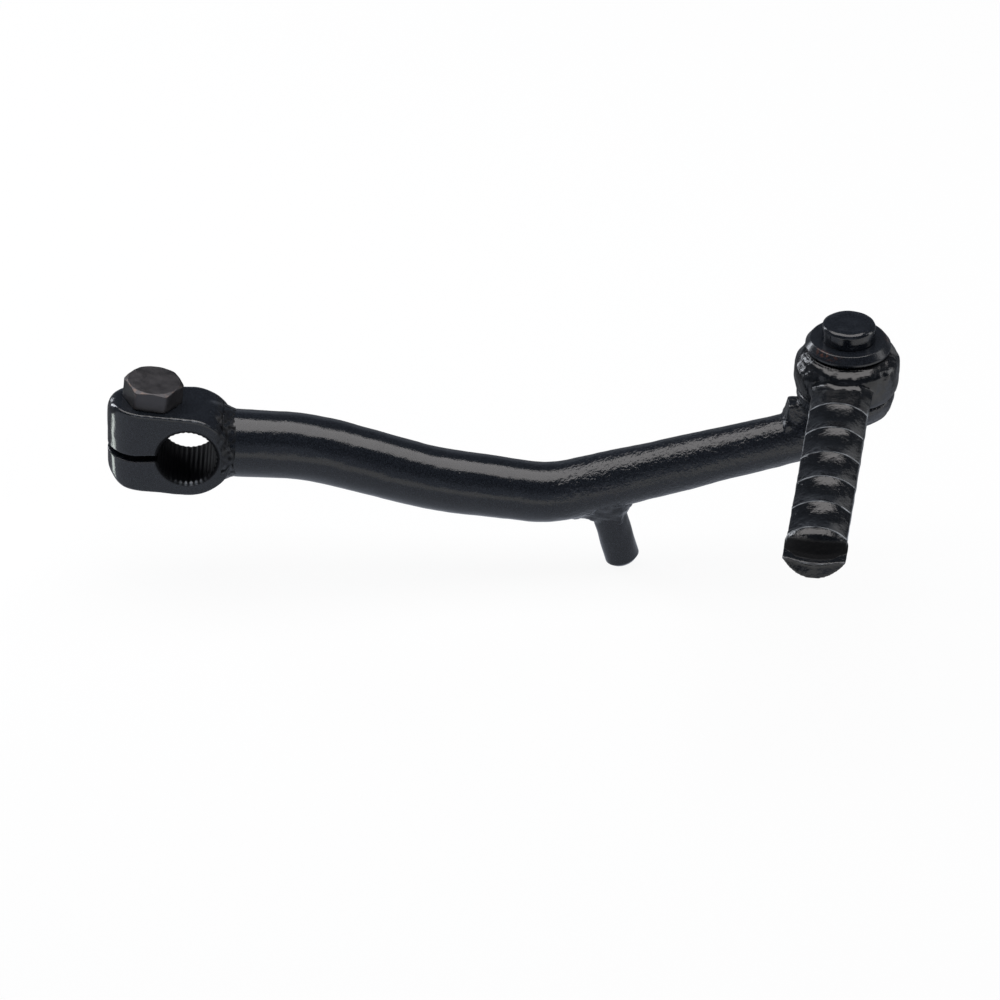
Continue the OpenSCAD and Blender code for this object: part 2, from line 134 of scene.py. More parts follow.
# a rectangular lamp of a given radiance: power = radiance * pi * area
def areaLamp(name, place, size, aim, radiance, colour):
    data = bpy.data.lights.new(name, "AREA")
    data.shape = "RECTANGLE"
    data.size, data.size_y = size
    data.energy = radiance * math.pi * size[0] * size[1]
    data.color = hexColour(colour)[:3]
    lamp = bpy.data.objects.new(name, data)
    bpy.context.scene.collection.objects.link(lamp)
    lamp.location = place
    lamp.rotation_euler = (Vector(aim) - Vector(place)).to_track_quat("-Z", "Y").to_euler()
    return lamp


# studio room: white to the camera, and the room's greys for the light
def makeWorld():
    world = bpy.data.worlds.new("studioRoom")
    bpy.context.scene.world = world
    world.use_nodes = True
    tree = world.node_tree
    tree.nodes.clear()
    path = addNode(tree, "ShaderNodeLightPath")
    direction = addNode(tree, "ShaderNodeTexCoord")
    split = addNode(tree, "ShaderNodeSeparateXYZ", links={"Vector": direction.outputs["Generated"]})
    across = addNode(tree, "ShaderNodeMapRange", values={"From Min": -1.0, "From Max": 1.0},
                     links={"Value": split.outputs["Y"]})
    greys = addNode(tree, "ShaderNodeValToRGB", links={"Fac": across.outputs["Result"]})
    for i, (at, code) in enumerate(light["room"]):
        stop = greys.color_ramp.elements[i] if i < 2 else greys.color_ramp.elements.new(at)
        stop.position = at
        stop.color = hexColour(code)
    room = addNode(tree, "ShaderNodeBackground", links={"Color": greys.outputs["Color"]})
    white = addNode(tree, "ShaderNodeBackground", values={"Color": (1, 1, 1, 1), "Strength": 1.0})
    mix = addNode(tree, "ShaderNodeMixShader",
                  links={"Fac": path.outputs["Is Camera Ray"], 1: room.outputs[0], 2: white.outputs[0]})
    addNode(tree, "ShaderNodeOutputWorld", links={"Surface": mix.outputs[0]})


# pale studio floor, which keeps the shadow and turns nearly white to the camera
def floorMaterial():
    mat, tree = emptyMaterial("paleStudioFloor")
    path = addNode(tree, "ShaderNodeLightPath")
    seen = addNode(tree, "ShaderNodeMath", {"operation": "ADD"},
                   links={0: path.outputs["Is Camera Ray"], 1: path.outputs["Is Glossy Ray"]})
    shown = addNode(tree, "ShaderNodeMath", {"operation": "ADD", "use_clamp": True},
                    links={0: seen.outputs[0], 1: path.outputs["Is Transmission Ray"]})
    share = addNode(tree, "ShaderNodeMath", {"operation": "MULTIPLY"}, {1: light["floorGlow"]},
                    {0: shown.outputs[0]})
    place = addNode(tree, "ShaderNodeTexCoord").outputs["Object"]
    depth = addNode(tree, "ShaderNodeSeparateXYZ", links={"Vector": place})
    behind = addNode(tree, "ShaderNodeMapRange", {"interpolation_type": "SMOOTHSTEP"},
                     {"From Min": light["behindStart"], "From Max": light["behindEnd"]},
                     {"Value": depth.outputs["Y"]})
    lit = addNode(tree, "ShaderNodeMix", {"data_type": "RGBA"},
                  {"A": hexColour(light["floorFront"]), "B": hexColour(light["floorBehind"])},
                  {"Factor": behind.outputs["Result"]})
    skew = addNode(tree, "ShaderNodeMath", {"operation": "MULTIPLY_ADD"}, {1: light["farSkew"]},
                   {0: depth.outputs["X"], 2: depth.outputs["Y"]})
    near = addNode(tree, "ShaderNodeMapRange", {"interpolation_type": "SMOOTHSTEP"},
                   {"From Min": light["farStart"], "From Max": light["farEnd"]},
                   {"Value": skew.outputs[0]})
    front = addNode(tree, "ShaderNodeMix", {"data_type": "RGBA"}, {"A": hexColour(light["floorFar"])},
                    {"Factor": near.outputs["Result"], "B": lit.outputs["Result"]})
    tint = addNode(tree, "ShaderNodeMix", {"data_type": "RGBA"}, {"B": (1, 1, 1, 1)},
                   {"Factor": path.outputs["Is Camera Ray"], "A": front.outputs["Result"]})
    glow = addNode(tree, "ShaderNodeEmission", values={"Strength": 1.0},
                   links={"Color": tint.outputs["Result"]})
    paint = addNode(tree, "ShaderNodeBsdfDiffuse", values={"Color": hexColour(light["floorColour"])})
    mix = addNode(tree, "ShaderNodeMixShader",
                  links={"Fac": share.outputs[0], 1: paint.outputs[0], 2: glow.outputs[0]})
    addNode(tree, "ShaderNodeOutputMaterial", links={"Surface": mix.outputs[0]})
    return mat


def makeFloor():
    half = light["floorHalf"]
    z = cadLow.z - light["floorGap"] * mm
    corners = [(-half, -half, z), (half, -half, z), (half, half, z), (-half, half, z)]
    mesh = bpy.data.meshes.new("studioFloor")
    mesh.from_pydata(corners, [], [(0, 1, 2, 3)])
    floor = bpy.data.objects.new("studioFloor", mesh)
    floor.data.materials.append(floorMaterial())
    bpy.context.scene.collection.objects.link(floor)


bpy.context.scene.view_settings.view_transform = "Standard"
makeCamera()
makeWorld()
makeFloor()
lit = {name: areaLamp(name, *lamp) for name, lamp in lamps.items()}
lit["cardLeft"].visible_camera = False
print("studio ready")


# materials

# Black enamel: sprayed stove enamel on rough forged steel. A wet gloss with orange peel about 1.6 mm
# wide, grit of the forging under it, a few dust pimples, a pale colour from one vertex attribute for rubbed
# paint and painted highlights, a near black painted shade with matt paint from the other, in bores, corners
# and on steps, and wrinkles from a given place along the arm (m) on.
def blackEnamel(name, peel=1.6, peelDepth=0.03, grit=0.45, gritDepth=0.026, dustDepth=0.04, gloss=0.1,
                base="14171c", patch="20242a", shadeColour="07080a", rubbedAndSheen="a4aab0", wrinkleFrom=1.0,
                wrinkleDepth=0.0):
    mat, tree = emptyMaterial(name)
    place = addNode(tree, "ShaderNodeTexCoord").outputs["Object"]
    waves = addNode(tree, "ShaderNodeTexNoise",
                    values={"Scale": 1 / (peel * mm), "Detail": 2.0, "Roughness": 0.5},
                    links={"Vector": place})
    grains = addNode(tree, "ShaderNodeTexNoise",
                     values={"Scale": 1 / (grit * mm), "Detail": 3.0, "Roughness": 0.6},
                     links={"Vector": place})
    clouds = addNode(tree, "ShaderNodeTexNoise",
                     values={"Scale": 1 / (9 * mm), "Detail": 3.0, "Roughness": 0.55},
                     links={"Vector": place})
    dust = addNode(tree, "ShaderNodeTexVoronoi", values={"Scale": 1 / (3.2 * mm)}, links={"Vector": place})
    pimple = addNode(tree, "ShaderNodeMapRange", {"interpolation_type": "SMOOTHSTEP"},
                     {"From Min": 0.09, "From Max": 0.0, "To Min": 0.0, "To Max": 1.0},
                     {"Value": dust.outputs["Distance"]})
    wearAndHighlight = addNode(tree, "ShaderNodeAttribute", {"attribute_name": "wearAndHighlight"})
    dullAndShade = addNode(tree, "ShaderNodeAttribute", {"attribute_name": "dullAndShade"})
    patches = addNode(tree, "ShaderNodeMapRange", values={"From Min": 0.4, "From Max": 0.62},
                      links={"Value": grains.outputs["Fac"]})
    shade = addNode(tree, "ShaderNodeMix", {"data_type": "RGBA"},
                    {"A": hexColour(base), "B": hexColour(patch)}, {"Factor": patches.outputs["Result"]})
    # painted shade: the colour turns near black where the dull paint is marked, in bores, corners and on
    # steps
    dim = addNode(tree, "ShaderNodeMix", {"data_type": "RGBA"}, {"B": hexColour(shadeColour)},
                  {"Factor": dullAndShade.outputs["Fac"], "A": shade.outputs["Result"]})
    # rubbed paint and painted highlights: the pale colour on edges, crests and teeth, and rust on the washer
    marked = addNode(tree, "ShaderNodeMix", {"data_type": "RGBA"}, {"B": hexColour(rubbedAndSheen)},
                   {"Factor": wearAndHighlight.outputs["Fac"], "A": dim.outputs["Result"]})
    rough = addNode(tree, "ShaderNodeMapRange",
                    values={"From Min": 0.3, "From Max": 0.7, "To Min": gloss * 0.8, "To Max": gloss * 1.5},
                    links={"Value": clouds.outputs["Fac"]})
    matt = addNode(tree, "ShaderNodeMath", {"operation": "MULTIPLY_ADD"}, {1: 0.55},
                   {0: dullAndShade.outputs["Fac"], 2: rough.outputs["Result"]})
    shine = addNode(tree, "ShaderNodeMapRange", values={"To Min": 0.5, "To Max": 0.08},
                    links={"Value": dullAndShade.outputs["Fac"]})
    along = addNode(tree, "ShaderNodeSeparateXYZ", links={"Vector": place})
    grown = addNode(tree, "ShaderNodeMapRange", {"interpolation_type": "SMOOTHSTEP"},
                    {"From Min": wrinkleFrom - 0.006, "From Max": wrinkleFrom + 0.008},
                    {"Value": along.outputs["X"]})
    runs = addNode(tree, "ShaderNodeTexNoise",
                   values={"Scale": 1 / (0.95 * mm), "Detail": 2.0, "Roughness": 0.5, "Distortion": 0.6},
                   links={"Vector": place})
    wrinkles = addNode(tree, "ShaderNodeMath", {"operation": "MULTIPLY"},
                       links={0: grown.outputs["Result"], 1: runs.outputs["Fac"]})
    bumpy = {}
    for height, depth in ((waves.outputs["Fac"], peelDepth), (grains.outputs["Fac"], gritDepth),
                          (pimple.outputs["Result"], dustDepth), (wrinkles.outputs[0], wrinkleDepth)):
        bump = addNode(tree, "ShaderNodeBump", values={"Strength": 1.0, "Distance": depth * mm},
                       links={"Height": height, **bumpy})
        bumpy = {"Normal": bump.outputs["Normal"]}
    enamel = addNode(tree, "ShaderNodeBsdfPrincipled", values={"Metallic": 0.0, "IOR": 1.5},
                     links={"Base Color": marked.outputs["Result"], "Roughness": matt.outputs[0],
                            "Specular IOR Level": shine.outputs["Result"], **bumpy})
    addNode(tree, "ShaderNodeOutputMaterial", links={"Surface": enamel.outputs[0]})
    return mat


# Blackened steel of the pinch bolt: rolled and oxidised, brown where the edges are rubbed through.
def oxideSteel(name):
    mat, tree = emptyMaterial(name)
    place = addNode(tree, "ShaderNodeTexCoord").outputs["Object"]
    clouds = addNode(tree, "ShaderNodeTexNoise",
                     values={"Scale": 1 / (2.4 * mm), "Detail": 4.0, "Roughness": 0.6},
                     links={"Vector": place})
    grains = addNode(tree, "ShaderNodeTexNoise",
                     values={"Scale": 1 / (0.35 * mm), "Detail": 3.0, "Roughness": 0.6},
                     links={"Vector": place})
    wearAndHighlight = addNode(tree, "ShaderNodeAttribute", {"attribute_name": "wearAndHighlight"})
    shade = addNode(tree, "ShaderNodeMix", {"data_type": "RGBA"},
                    {"A": hexColour("444345"), "B": hexColour("575658")}, {"Factor": clouds.outputs["Fac"]})
    broken = addNode(tree, "ShaderNodeMath", {"operation": "MULTIPLY_ADD"}, {1: 2.2},
                     {0: wearAndHighlight.outputs["Fac"], 2: grains.outputs["Fac"]})
    edge = addNode(tree, "ShaderNodeMapRange", values={"From Min": 0.75, "From Max": 1.6},
                   links={"Value": broken.outputs[0]})
    marked = addNode(tree, "ShaderNodeMix", {"data_type": "RGBA"}, {"B": hexColour("6c5f59")},
                   {"Factor": edge.outputs["Result"], "A": shade.outputs["Result"]})
    rough = addNode(tree, "ShaderNodeMapRange",
                    values={"From Min": 0.3, "From Max": 0.7, "To Min": 0.4, "To Max": 0.56},
                    links={"Value": clouds.outputs["Fac"]})
    bump = addNode(tree, "ShaderNodeBump", values={"Strength": 1.0, "Distance": 0.012 * mm},
                   links={"Height": grains.outputs["Fac"]})
    steel = addNode(tree, "ShaderNodeBsdfPrincipled", values={"Metallic": 1.0},
                    links={"Base Color": marked.outputs["Result"], "Roughness": rough.outputs["Result"],
                           "Normal": bump.outputs["Normal"]})
    addNode(tree, "ShaderNodeOutputMaterial", links={"Surface": steel.outputs[0]})
    return mat


# Bright steel of the detent: a polished ball, or drawn wire with fine lines
def brightSteel(name, colour, rough, grain):
    mat, tree = emptyMaterial(name)
    place = addNode(tree, "ShaderNodeTexCoord").outputs["Object"]
    marks = addNode(tree, "ShaderNodeTexNoise",
                    values={"Scale": 1 / (grain * mm), "Detail": 3.0, "Roughness": 0.6},
                    links={"Vector": place})
    blend = addNode(tree, "ShaderNodeMapRange",
                    values={"From Min": 0.3, "From Max": 0.7, "To Min": rough * 0.8, "To Max": rough * 1.3},
                    links={"Value": marks.outputs["Fac"]})
    bump = addNode(tree, "ShaderNodeBump", values={"Strength": 1.0, "Distance": 0.002 * mm},
                   links={"Height": marks.outputs["Fac"]})
    steel = addNode(tree, "ShaderNodeBsdfPrincipled",
                    values={"Metallic": 1.0, "Base Color": hexColour(colour)},
                    links={"Roughness": blend.outputs["Result"], "Normal": bump.outputs["Normal"]})
    addNode(tree, "ShaderNodeOutputMaterial", links={"Surface": steel.outputs[0]})
    return mat


enamelPlain = blackEnamel("blackStoveEnamel")
enamelBar = blackEnamel("wrinkledStoveEnamel", wrinkleFrom=0.088, wrinkleDepth=0.2)
enamelWeld = blackEnamel("enamelOnWeld", peel=1.1, peelDepth=0.05, grit=0.4, gritDepth=0.014)
# the pedal's enamel is darker all over, a painted shade for its dark hollows, and its pale colour brighter,
# for painted highlights on crests and edges
enamelPedal = blackEnamel("enamelOnPedal", peel=1.4, peelDepth=0.04, grit=0.5, gritDepth=0.045,
                          base="0d0f12", patch="15181c", rubbedAndSheen="c8ced4", wrinkleFrom=0.05,
                          wrinkleDepth=0.07)
enamelWasher = blackEnamel("enamelWithRust", peel=1.2, peelDepth=0.02, grit=0.4, gritDepth=0.02,
                           gloss=0.18, rubbedAndSheen="6b4331")
oxide = oxideSteel("blackenedBoltSteel")
bearing = brightSteel("polishedBallSteel", "c3c6ca", 0.09, 0.8)
wire = brightSteel("drawnSpringWire", "9a9ba0", 0.3, 0.15)
print("materials ready")


# surfaces

# bell curve: exp(-(distance / width)^2)
def bell(distance, width):
    return np.exp(-(distance / width) ** 2)


# straight ramp from 0 to 1: the way past a place over the ramp's length
def ramp(past, length):
    return np.clip(past / length, 0, 1)


# smooth unevenness in mm: the mean of many plane waves in seeded directions, each about size mm long
def lumps(points, size, seed, waves=20):
    rng = np.random.default_rng(seed)
    ways = rng.normal(size=(waves, 3))
    ways /= np.linalg.norm(ways, axis=1, keepdims=True)
    turns = 2 * math.pi / (size * rng.uniform(0.7, 1.5, waves))
    total = np.zeros(len(points))
    for way, turn, start in zip(ways, turns, rng.uniform(0, 2 * math.pi, waves)):
        total += np.cos(points @ way * turn + start)
    return total / math.sqrt(waves)


# a closed skin from rings of points: rows follow the path, columns go round, and each end meets in a pole
def skin(rings):
    rows, cols = rings.shape[:2]
    at = np.arange(rows * cols).reshape(rows, cols)
    beside = np.roll(at, -1, axis=1)
    quads = np.stack([at[:-1], beside[:-1], beside[1:], at[1:]], -1).reshape(-1, 4)
    poles = np.stack([rings[0].mean(0), rings[-1].mean(0)])
    first = np.stack([np.full(cols, rows * cols), beside[0], at[0]], -1)
    last = np.stack([np.full(cols, rows * cols + 1), at[-1], beside[-1]], -1)
    return np.vstack([rings.reshape(-1, 3), poles]), quads, np.vstack([first, last])


# a skin that closes on itself both ways, such as a ring bead
def ringSkin(rings):
    rows, cols = rings.shape[:2]
    at = np.arange(rows * cols).reshape(rows, cols)
    right = np.roll(at, -1, axis=1)
    quads = np.stack([at, right, np.roll(right, -1, axis=0), np.roll(at, -1, axis=0)], -1).reshape(-1, 4)
    return rings.reshape(-1, 3), quads, np.zeros((0, 3), int)


# one mesh in metres from skins in mm, faces turned outwards
def meshOf(name, skins):
    points, faces, base = [], [], 0
    for verts, quads, tris in skins:
        points.append(verts)
        faces += (quads + base).tolist() + (tris + base).tolist()
        base += len(verts)
    mesh = bpy.data.meshes.new(name)
    mesh.from_pydata((np.vstack(points) * mm).tolist(), [], faces)
    work = bmesh.new()
    work.from_mesh(mesh)
    bmesh.ops.recalc_face_normals(work, faces=work.faces)
    work.to_mesh(mesh)
    work.free()
    mesh.shade_smooth()
    piece = bpy.data.objects.new(name, mesh)
    bpy.context.scene.collection.objects.link(piece)
    return piece


def verticesOf(piece):
    flat = np.empty(len(piece.data.vertices) * 3)
    piece.data.vertices.foreach_get("co", flat)
    return flat.reshape(-1, 3) / mm


def normalsOf(piece):
    flat = np.empty(len(piece.data.vertices) * 3)
    piece.data.vertex_normals.foreach_get("vector", flat)
    return flat.reshape(-1, 3)


def setVertices(piece, points):
    piece.data.vertices.foreach_set("co", (points * mm).ravel())
    piece.data.update()


# moves each vertex out along its normal: point = old point + normal * push
def swell(piece, points, push):
    setVertices(piece, points + normalsOf(piece) * push[:, None])


# runs the modifiers into the mesh
def settle(piece):
    bpy.context.view_layer.update()
    made = bpy.data.meshes.new_from_object(piece.evaluated_get(bpy.context.evaluated_depsgraph_get()))
    piece.modifiers.clear()
    old = piece.data
    piece.data = made
    bpy.data.meshes.remove(old)
    piece.data.name = piece.name
    piece.data.shade_smooth()


# grows overlapping skins into one forging: voxels of that size, then rounds of smoothing
def fuse(piece, voxel, rounds):
    remesh = piece.modifiers.new("oneForging", "REMESH")
    remesh.mode = "VOXEL"
    remesh.voxel_size = voxel * mm
    if rounds:
        soft = piece.modifiers.new("softEdges", "SMOOTH")
        soft.factor = 0.5
        soft.iterations = rounds
    settle(piece)


# cuts a closed skin out of a piece
def carve(piece, cutter):
    cut = piece.modifiers.new("cut", "BOOLEAN")
    cut.operation = "DIFFERENCE"
    cut.solver = "EXACT"
    cut.object = cutter
    settle(piece)
    bpy.data.objects.remove(cutter)


def merge(piece, other):
    joined = bmesh.new()
    joined.from_mesh(piece.data)
    joined.from_mesh(other.data)
    joined.to_mesh(piece.data)
    joined.free()
    bpy.data.objects.remove(other)


# how far each vertex carries a mark, from 0 to 1: rubbed paint, rust and painted highlight in one kind, dull
# paint with painted shade in the other
def setWearAndLight(piece, kind, values):
    layer = piece.data.attributes.new(kind, "FLOAT", "POINT")
    layer.data.foreach_set("value", np.clip(values, 0, 1).astype(np.float32))


def dress(piece, body, node, material):
    piece.data.materials.clear()
    piece.data.materials.append(material)
    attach(piece, body)
    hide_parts(node)
    print(piece.name, "made,", len(piece.data.polygons), "faces")
    return piece


# rings of a lathe about the z axis: profile points (radius, height) turned through a full circle
def lathe(profile, turns=144):
    angle = np.linspace(0, 2 * math.pi, turns, endpoint=False)
    r, z = np.array(profile, float).T
    return np.stack([r[:, None] * np.cos(angle), r[:, None] * np.sin(angle), z[:, None] + 0 * angle], -1)


# the same rings about the pivot's axis
def pivotLathe(profile, turns=144):
    rings = lathe(profile, turns)
    rings[..., 0] += arm["eyeX"]
    return rings


# points added along a profile so that no step is longer than step mm
def filled(profile, step=0.25):
    out = [profile[0]]
    for a, b in zip(profile[:-1], profile[1:]):
        count = max(1, int(math.ceil(math.dist(a, b) / step)))
        out += [tuple(np.array(a) + (np.array(b) - np.array(a)) * k / count) for k in range(1, count + 1)]
    return out


# corners of a profile rounded: each point becomes the mean of its neighbours, a few times
def eased(profile, rounds=2, step=0.2):
    line = np.array(filled(profile, step))
    for _ in range(rounds):
        line[1:-1] = (line[:-2] + 2 * line[1:-1] + line[2:]) / 4
    return line


# turns points about the y axis, x towards -z, by that many degrees
def leant(points, degrees):
    c, s = math.cos(math.radians(degrees)), math.sin(math.radians(degrees))
    x, y, z = points[..., 0], points[..., 1], points[..., 2]
    return np.stack([x * c + z * s, y, z * c - x * s], -1)


# arm

arm = {
    "corners": ((11.5, -0.95), (29.0, -2.2), (60.0, -12.4), (88.6, -17.3), (150.0, -1.0)),  # x and z
    "radii": (8.35, 8.2, 7.85, 7.5, 6.15),    # of the bar at each corner
    "bends": (0.0, 60.0, 80.0, 28.0, 0.0),    # radius of each bend
    "rootDepth": 2.0,                         # start of the bar inside the clamp head
    "plainEnd": 141.0,                        # x up to which the bar is trued to its radius
    "webStart": (146.5, -1.9),                # x and z
    "webSlopes": (15.0, 83.0),                # degrees at its lower and upper end
    "webLength": 13.2,
    "webRadius": 6.1,
    "eyeX": 160.4,
    "eyeRadius": 11.9,
    "eyeTop": 12.9,
    "eyeBottom": 7.5,
    "peenRadius": 6.8,                        # room for the peened end of the pin in the web
    "lugTop": 9.1,
    "lugWidth": 5.0,
    "voxel": 0.35,
    "track": {"offset": 8.5, "z": 14.62, "groove": 2.52, "seat": 2.75, "fold": 80.0},
}


# centre line of the bar: its slope is level between bends and turns evenly in each bend,
# and the points are the running sum of unit steps along that slope
def armLine(step=0.25):
    corner = np.array(arm["corners"])
    sides = np.diff(corner, axis=0)
    slopes = np.arctan2(sides[:, 1], sides[:, 0])
    lengths = np.hypot(sides[:, 0], sides[:, 1])
    turns = np.diff(slopes)
    cuts = np.array(arm["bends"][1:-1]) * np.tan(np.abs(turns) / 2)
    at, value, s = [0.0], [slopes[0]], 0.0
    for i, length in enumerate(lengths):
        s += length - (cuts[i - 1] if i else 0) - (cuts[i] if i < len(cuts) else 0)
        at.append(s)
        value.append(slopes[i])
        if i < len(cuts):
            s += arm["bends"][i + 1] * abs(turns[i])
            at.append(s)
            value.append(slopes[i + 1])
    reach = np.arange(0, at[-1] + step, step)
    slope = np.interp(reach, at, value)
    x = corner[0, 0] + np.concatenate([[0], np.cumsum(np.cos(slope[:-1]) * step)])
    z = corner[0, 1] + np.concatenate([[0], np.cumsum(np.sin(slope[:-1]) * step)])
    radius = np.interp(x, corner[:, 0], arm["radii"])
    return x, z, slope, radius


# rings round a path in the xz plane: ring point = centre + radius * (cos * y + sin * the path's upright)
def sweep(x, z, slope, radius, turns=120):
    angle = np.linspace(0, 2 * math.pi, turns, endpoint=False)
    up = np.stack([-np.sin(slope), 0 * slope, np.cos(slope)], -1)
    centre = np.stack([x, 0 * x, z], -1)
    side = np.array([0.0, 1.0, 0.0])
    return (centre[:, None] + radius[:, None, None] * (np.cos(angle)[None, :, None] * side
                                                        + np.sin(angle)[None, :, None] * up[:, None]))


# web between bar and eye: its slope grows as the way along it to the power 1.3, from the bar's end
# up to the eye's underside
def webSkin():
    (startX, startZ), (low, high) = arm["webStart"], arm["webSlopes"]
    t = np.linspace(0, 1, 40)
    slope = math.radians(low) + t ** 1.3 * math.radians(high - low)
    step = arm["webLength"] / (len(t) - 1)
    x = startX + np.concatenate([[0], np.cumsum(np.cos(slope[:-1]) * step)])
    z = startZ + np.concatenate([[0], np.cumsum(np.sin(slope[:-1]) * step)])
    return skin(sweep(x, z, slope, arm["webRadius"] - 0.7 * t))


# stop lug: an outline in the xz plane with its edges eased, drawn from side to side of the arm,
# and spread at its foot by a falling exponential of the height
def lugSkin():
    x, top = arm["corners"][-1][0], arm["lugTop"]
    outline = eased([(x - 4.4, -1), (x - 3.9, 6), (x - 3.4, top), (x - 1.5, top), (x - 0.4, 7.9),
                     (x + 1.4, 7.6), (x + 1.4, -1), (x - 4.4, -1)], 3)[:-1]
    half = arm["lugWidth"] / 2
    across = np.linspace(-half, half, 30)
    edge = np.clip((half - np.abs(across)) / 0.5, 0, 1)
    draw = 0.93 + 0.07 * np.sqrt(1 - (1 - edge) ** 2)
    middle = np.array([x - 1.5, 4.5])
    flat = middle + (outline - middle)[None] * draw[:, None, None]
    flare = np.exp(-np.maximum(flat[..., 1] - 4.4, 0) / 1.1)
    side = across[:, None] * (1 + 0.75 * flare)
    return skin(np.stack([flat[..., 0] - 0.3 * flare * (flat[..., 0] < x - 2.4), side, flat[..., 1]], -1))


# detent track in the eye's upper face: a round groove along an arc, with a ball's seat at each end.
# Its radius is the groove's between the seats and follows a sphere round each seat
def trackSkin():
    track = arm["track"]
    low, high = np.radians([90 - pedal["turn"] - track["fold"], 90 - pedal["turn"]])
    more = track["seat"] / track["offset"]
    way = np.linspace(low - more + 1e-3, high + more - 1e-3, 90)
    near = np.minimum(np.abs(way - low), np.abs(way - high)) * track["offset"]
    radius = np.sqrt(np.maximum(track["seat"] ** 2 - near ** 2, 0))
    radius = np.where((way > low) & (way < high), np.maximum(radius, track["groove"]), radius) + 0.01
    turn = np.linspace(0, 2 * math.pi, 40, endpoint=False)
    out = track["offset"] + radius[:, None] * np.cos(turn)
    z = track["z"] + radius[:, None] * np.sin(turn)
    return skin(np.stack([arm["eyeX"] + out * np.cos(way)[:, None], out * np.sin(way)[:, None], z], -1))


# the plain bar goes back to its exact radius: each point is measured from the nearest place on the
# centre line, and moved out to the radius there plus the forging's unevenness
def trueBar(piece, x, z, slope, radius):
    points = verticesOf(piece)
    run = np.concatenate([[0], np.cumsum(np.hypot(np.diff(x), np.diff(z)))])
    s = np.interp(points[:, 0], x, run)
    for _ in range(5):
        cx, cz, cs = np.interp(s, run, x), np.interp(s, run, z), np.interp(s, run, slope)
        s = np.clip(s + (points[:, 0] - cx) * np.cos(cs) + (points[:, 2] - cz) * np.sin(cs), 0, run[-1])
    cx, cz = np.interp(s, run, x), np.interp(s, run, z)
    out = points - np.stack([cx, 0 * cx, cz], -1)
    length = np.linalg.norm(out, axis=1)
    wanted = np.interp(s, run, radius) - 0.05 + 0.05 * lumps(points, 12, 3) + 0.018 * lumps(points, 3.5, 4)
    plain = ramp(arm["plainEnd"] - points[:, 0], 5) * ramp(s - 0.5, 0.5)
    plain = plain * plain * (3 - 2 * plain)
    moved = points + out / length[:, None] * ((wanted - length) * plain)[:, None]
    rough = (1 - plain)[:, None] * normalsOf(piece) * (0.05 * lumps(points, 4, 5))[:, None]
    setVertices(piece, moved + rough * (points[:, 2] < arm["eyeTop"] - 0.4)[:, None])


def makeArm():
    x, z, slope, radius = armLine()
    back = arm["rootDepth"]
    x = np.concatenate([[x[0] - back], x])
    z = np.concatenate([[z[0] + back * math.sin(-slope[0])], z])
    slope = np.concatenate([slope[:1], slope])
    radius = np.concatenate([radius[:1], radius])
    r, low, top = arm["eyeRadius"], arm["eyeBottom"], arm["eyeTop"]
    eyeRim = [(0.01, low + 0.4), (6.6, low + 0.4), (7.0, low), (r - 1.4, low), (r - 1.0, low + 0.4),
              (r - 1.0, 8.7), (r - 0.5, 9.0), (r, 11.2), (r, top - 0.4), (r - 0.3, top), (0.01, top)]
    eye = meshOf("eye", [skin(pivotLathe(filled(eyeRim, 0.4)))])
    carve(eye, meshOf("detentTrack", [trackSkin()]))
    web = meshOf("web", [webSkin()])
    room = arm["peenRadius"]
    carve(web, meshOf("peenRoom", [skin(pivotLathe([(0.01, -8), (room, -8), (room, 7.7), (0.01, 7.7)]))]))
    piece = meshOf("armBar", [skin(sweep(x, z, slope, radius)), lugSkin()])
    merge(piece, eye)
    merge(piece, web)
    fuse(piece, arm["voxel"], 4)
    trueBar(piece, x, z, slope, radius)
    return dress(piece, "arm", "arm_bar", enamelBar)


# clamp head

clamp = {
    "eyeRadius": 11.0,
    "width": 17.0,
    "tilt": 7.5,            # dip of the head towards the arm, degrees
    "endAxis": -11.3,       # axis of the round end
    "endLean": 5.0,         # lean of the round end, degrees
    "edge": 0.6,            # radius on the edges
    "endRim": 4.0,          # radius on the round end's upper rim
    "neckX": (1.0, 13.0),
    "neckWidth": 15.6,
    "neckTallAt": (1, 3, 5, 6.5, 8, 9.5, 11.2, 13),
    "neckTall": (10.6, 10.5, 10.3, 9.9, 9.3, 8.7, 8.2, 8.1),    # half of its height there
    "slot": 1.7,
    "tipRadius": 6.95,      # at the tips of the serration teeth
    "toothDepth": 0.5,
    "teeth": 36,
    "chamfer": 0.5,
    "boltOffset": 11.6,
    "boltLean": 12.0,
    "boltHole": 4.05,
    "seat": 10.6,
    "seatRadius": 7.3,
    "firstVoxel": 0.35,     # before the cuts
    "voxel": 0.226,         # after them
    "edgeWearAndSheen": 0.17,       # width of the painted highlight, partly rubbed paint, along the front edge
    "mouthWearAndGlint": (-84.0, 22.0),    # middle and width, degrees, of the painted glints, partly rubbed paint, on the lowest teeth at the bore's mouth
}


# ring of a rounded oblong between two sides and two levels, in the yz plane at x,
# with a radius of its own at the upper rear corner
def oblong(x, sideA, sideB, low, high, corner, rear, steps=12):
    q = np.linspace(0, math.pi / 2, steps)
    y = np.concatenate([sideB - rear + rear * np.cos(q), sideA + corner - corner * np.sin(q),
                        sideA + corner - corner * np.cos(q), sideB - corner + corner * np.sin(q)])
    z = np.concatenate([high - rear + rear * np.sin(q), high - corner + corner * np.cos(q),
                        low + corner - corner * np.sin(q), low + corner - corner * np.cos(q)])
    return np.stack([x + 0 * y, y, z], -1)


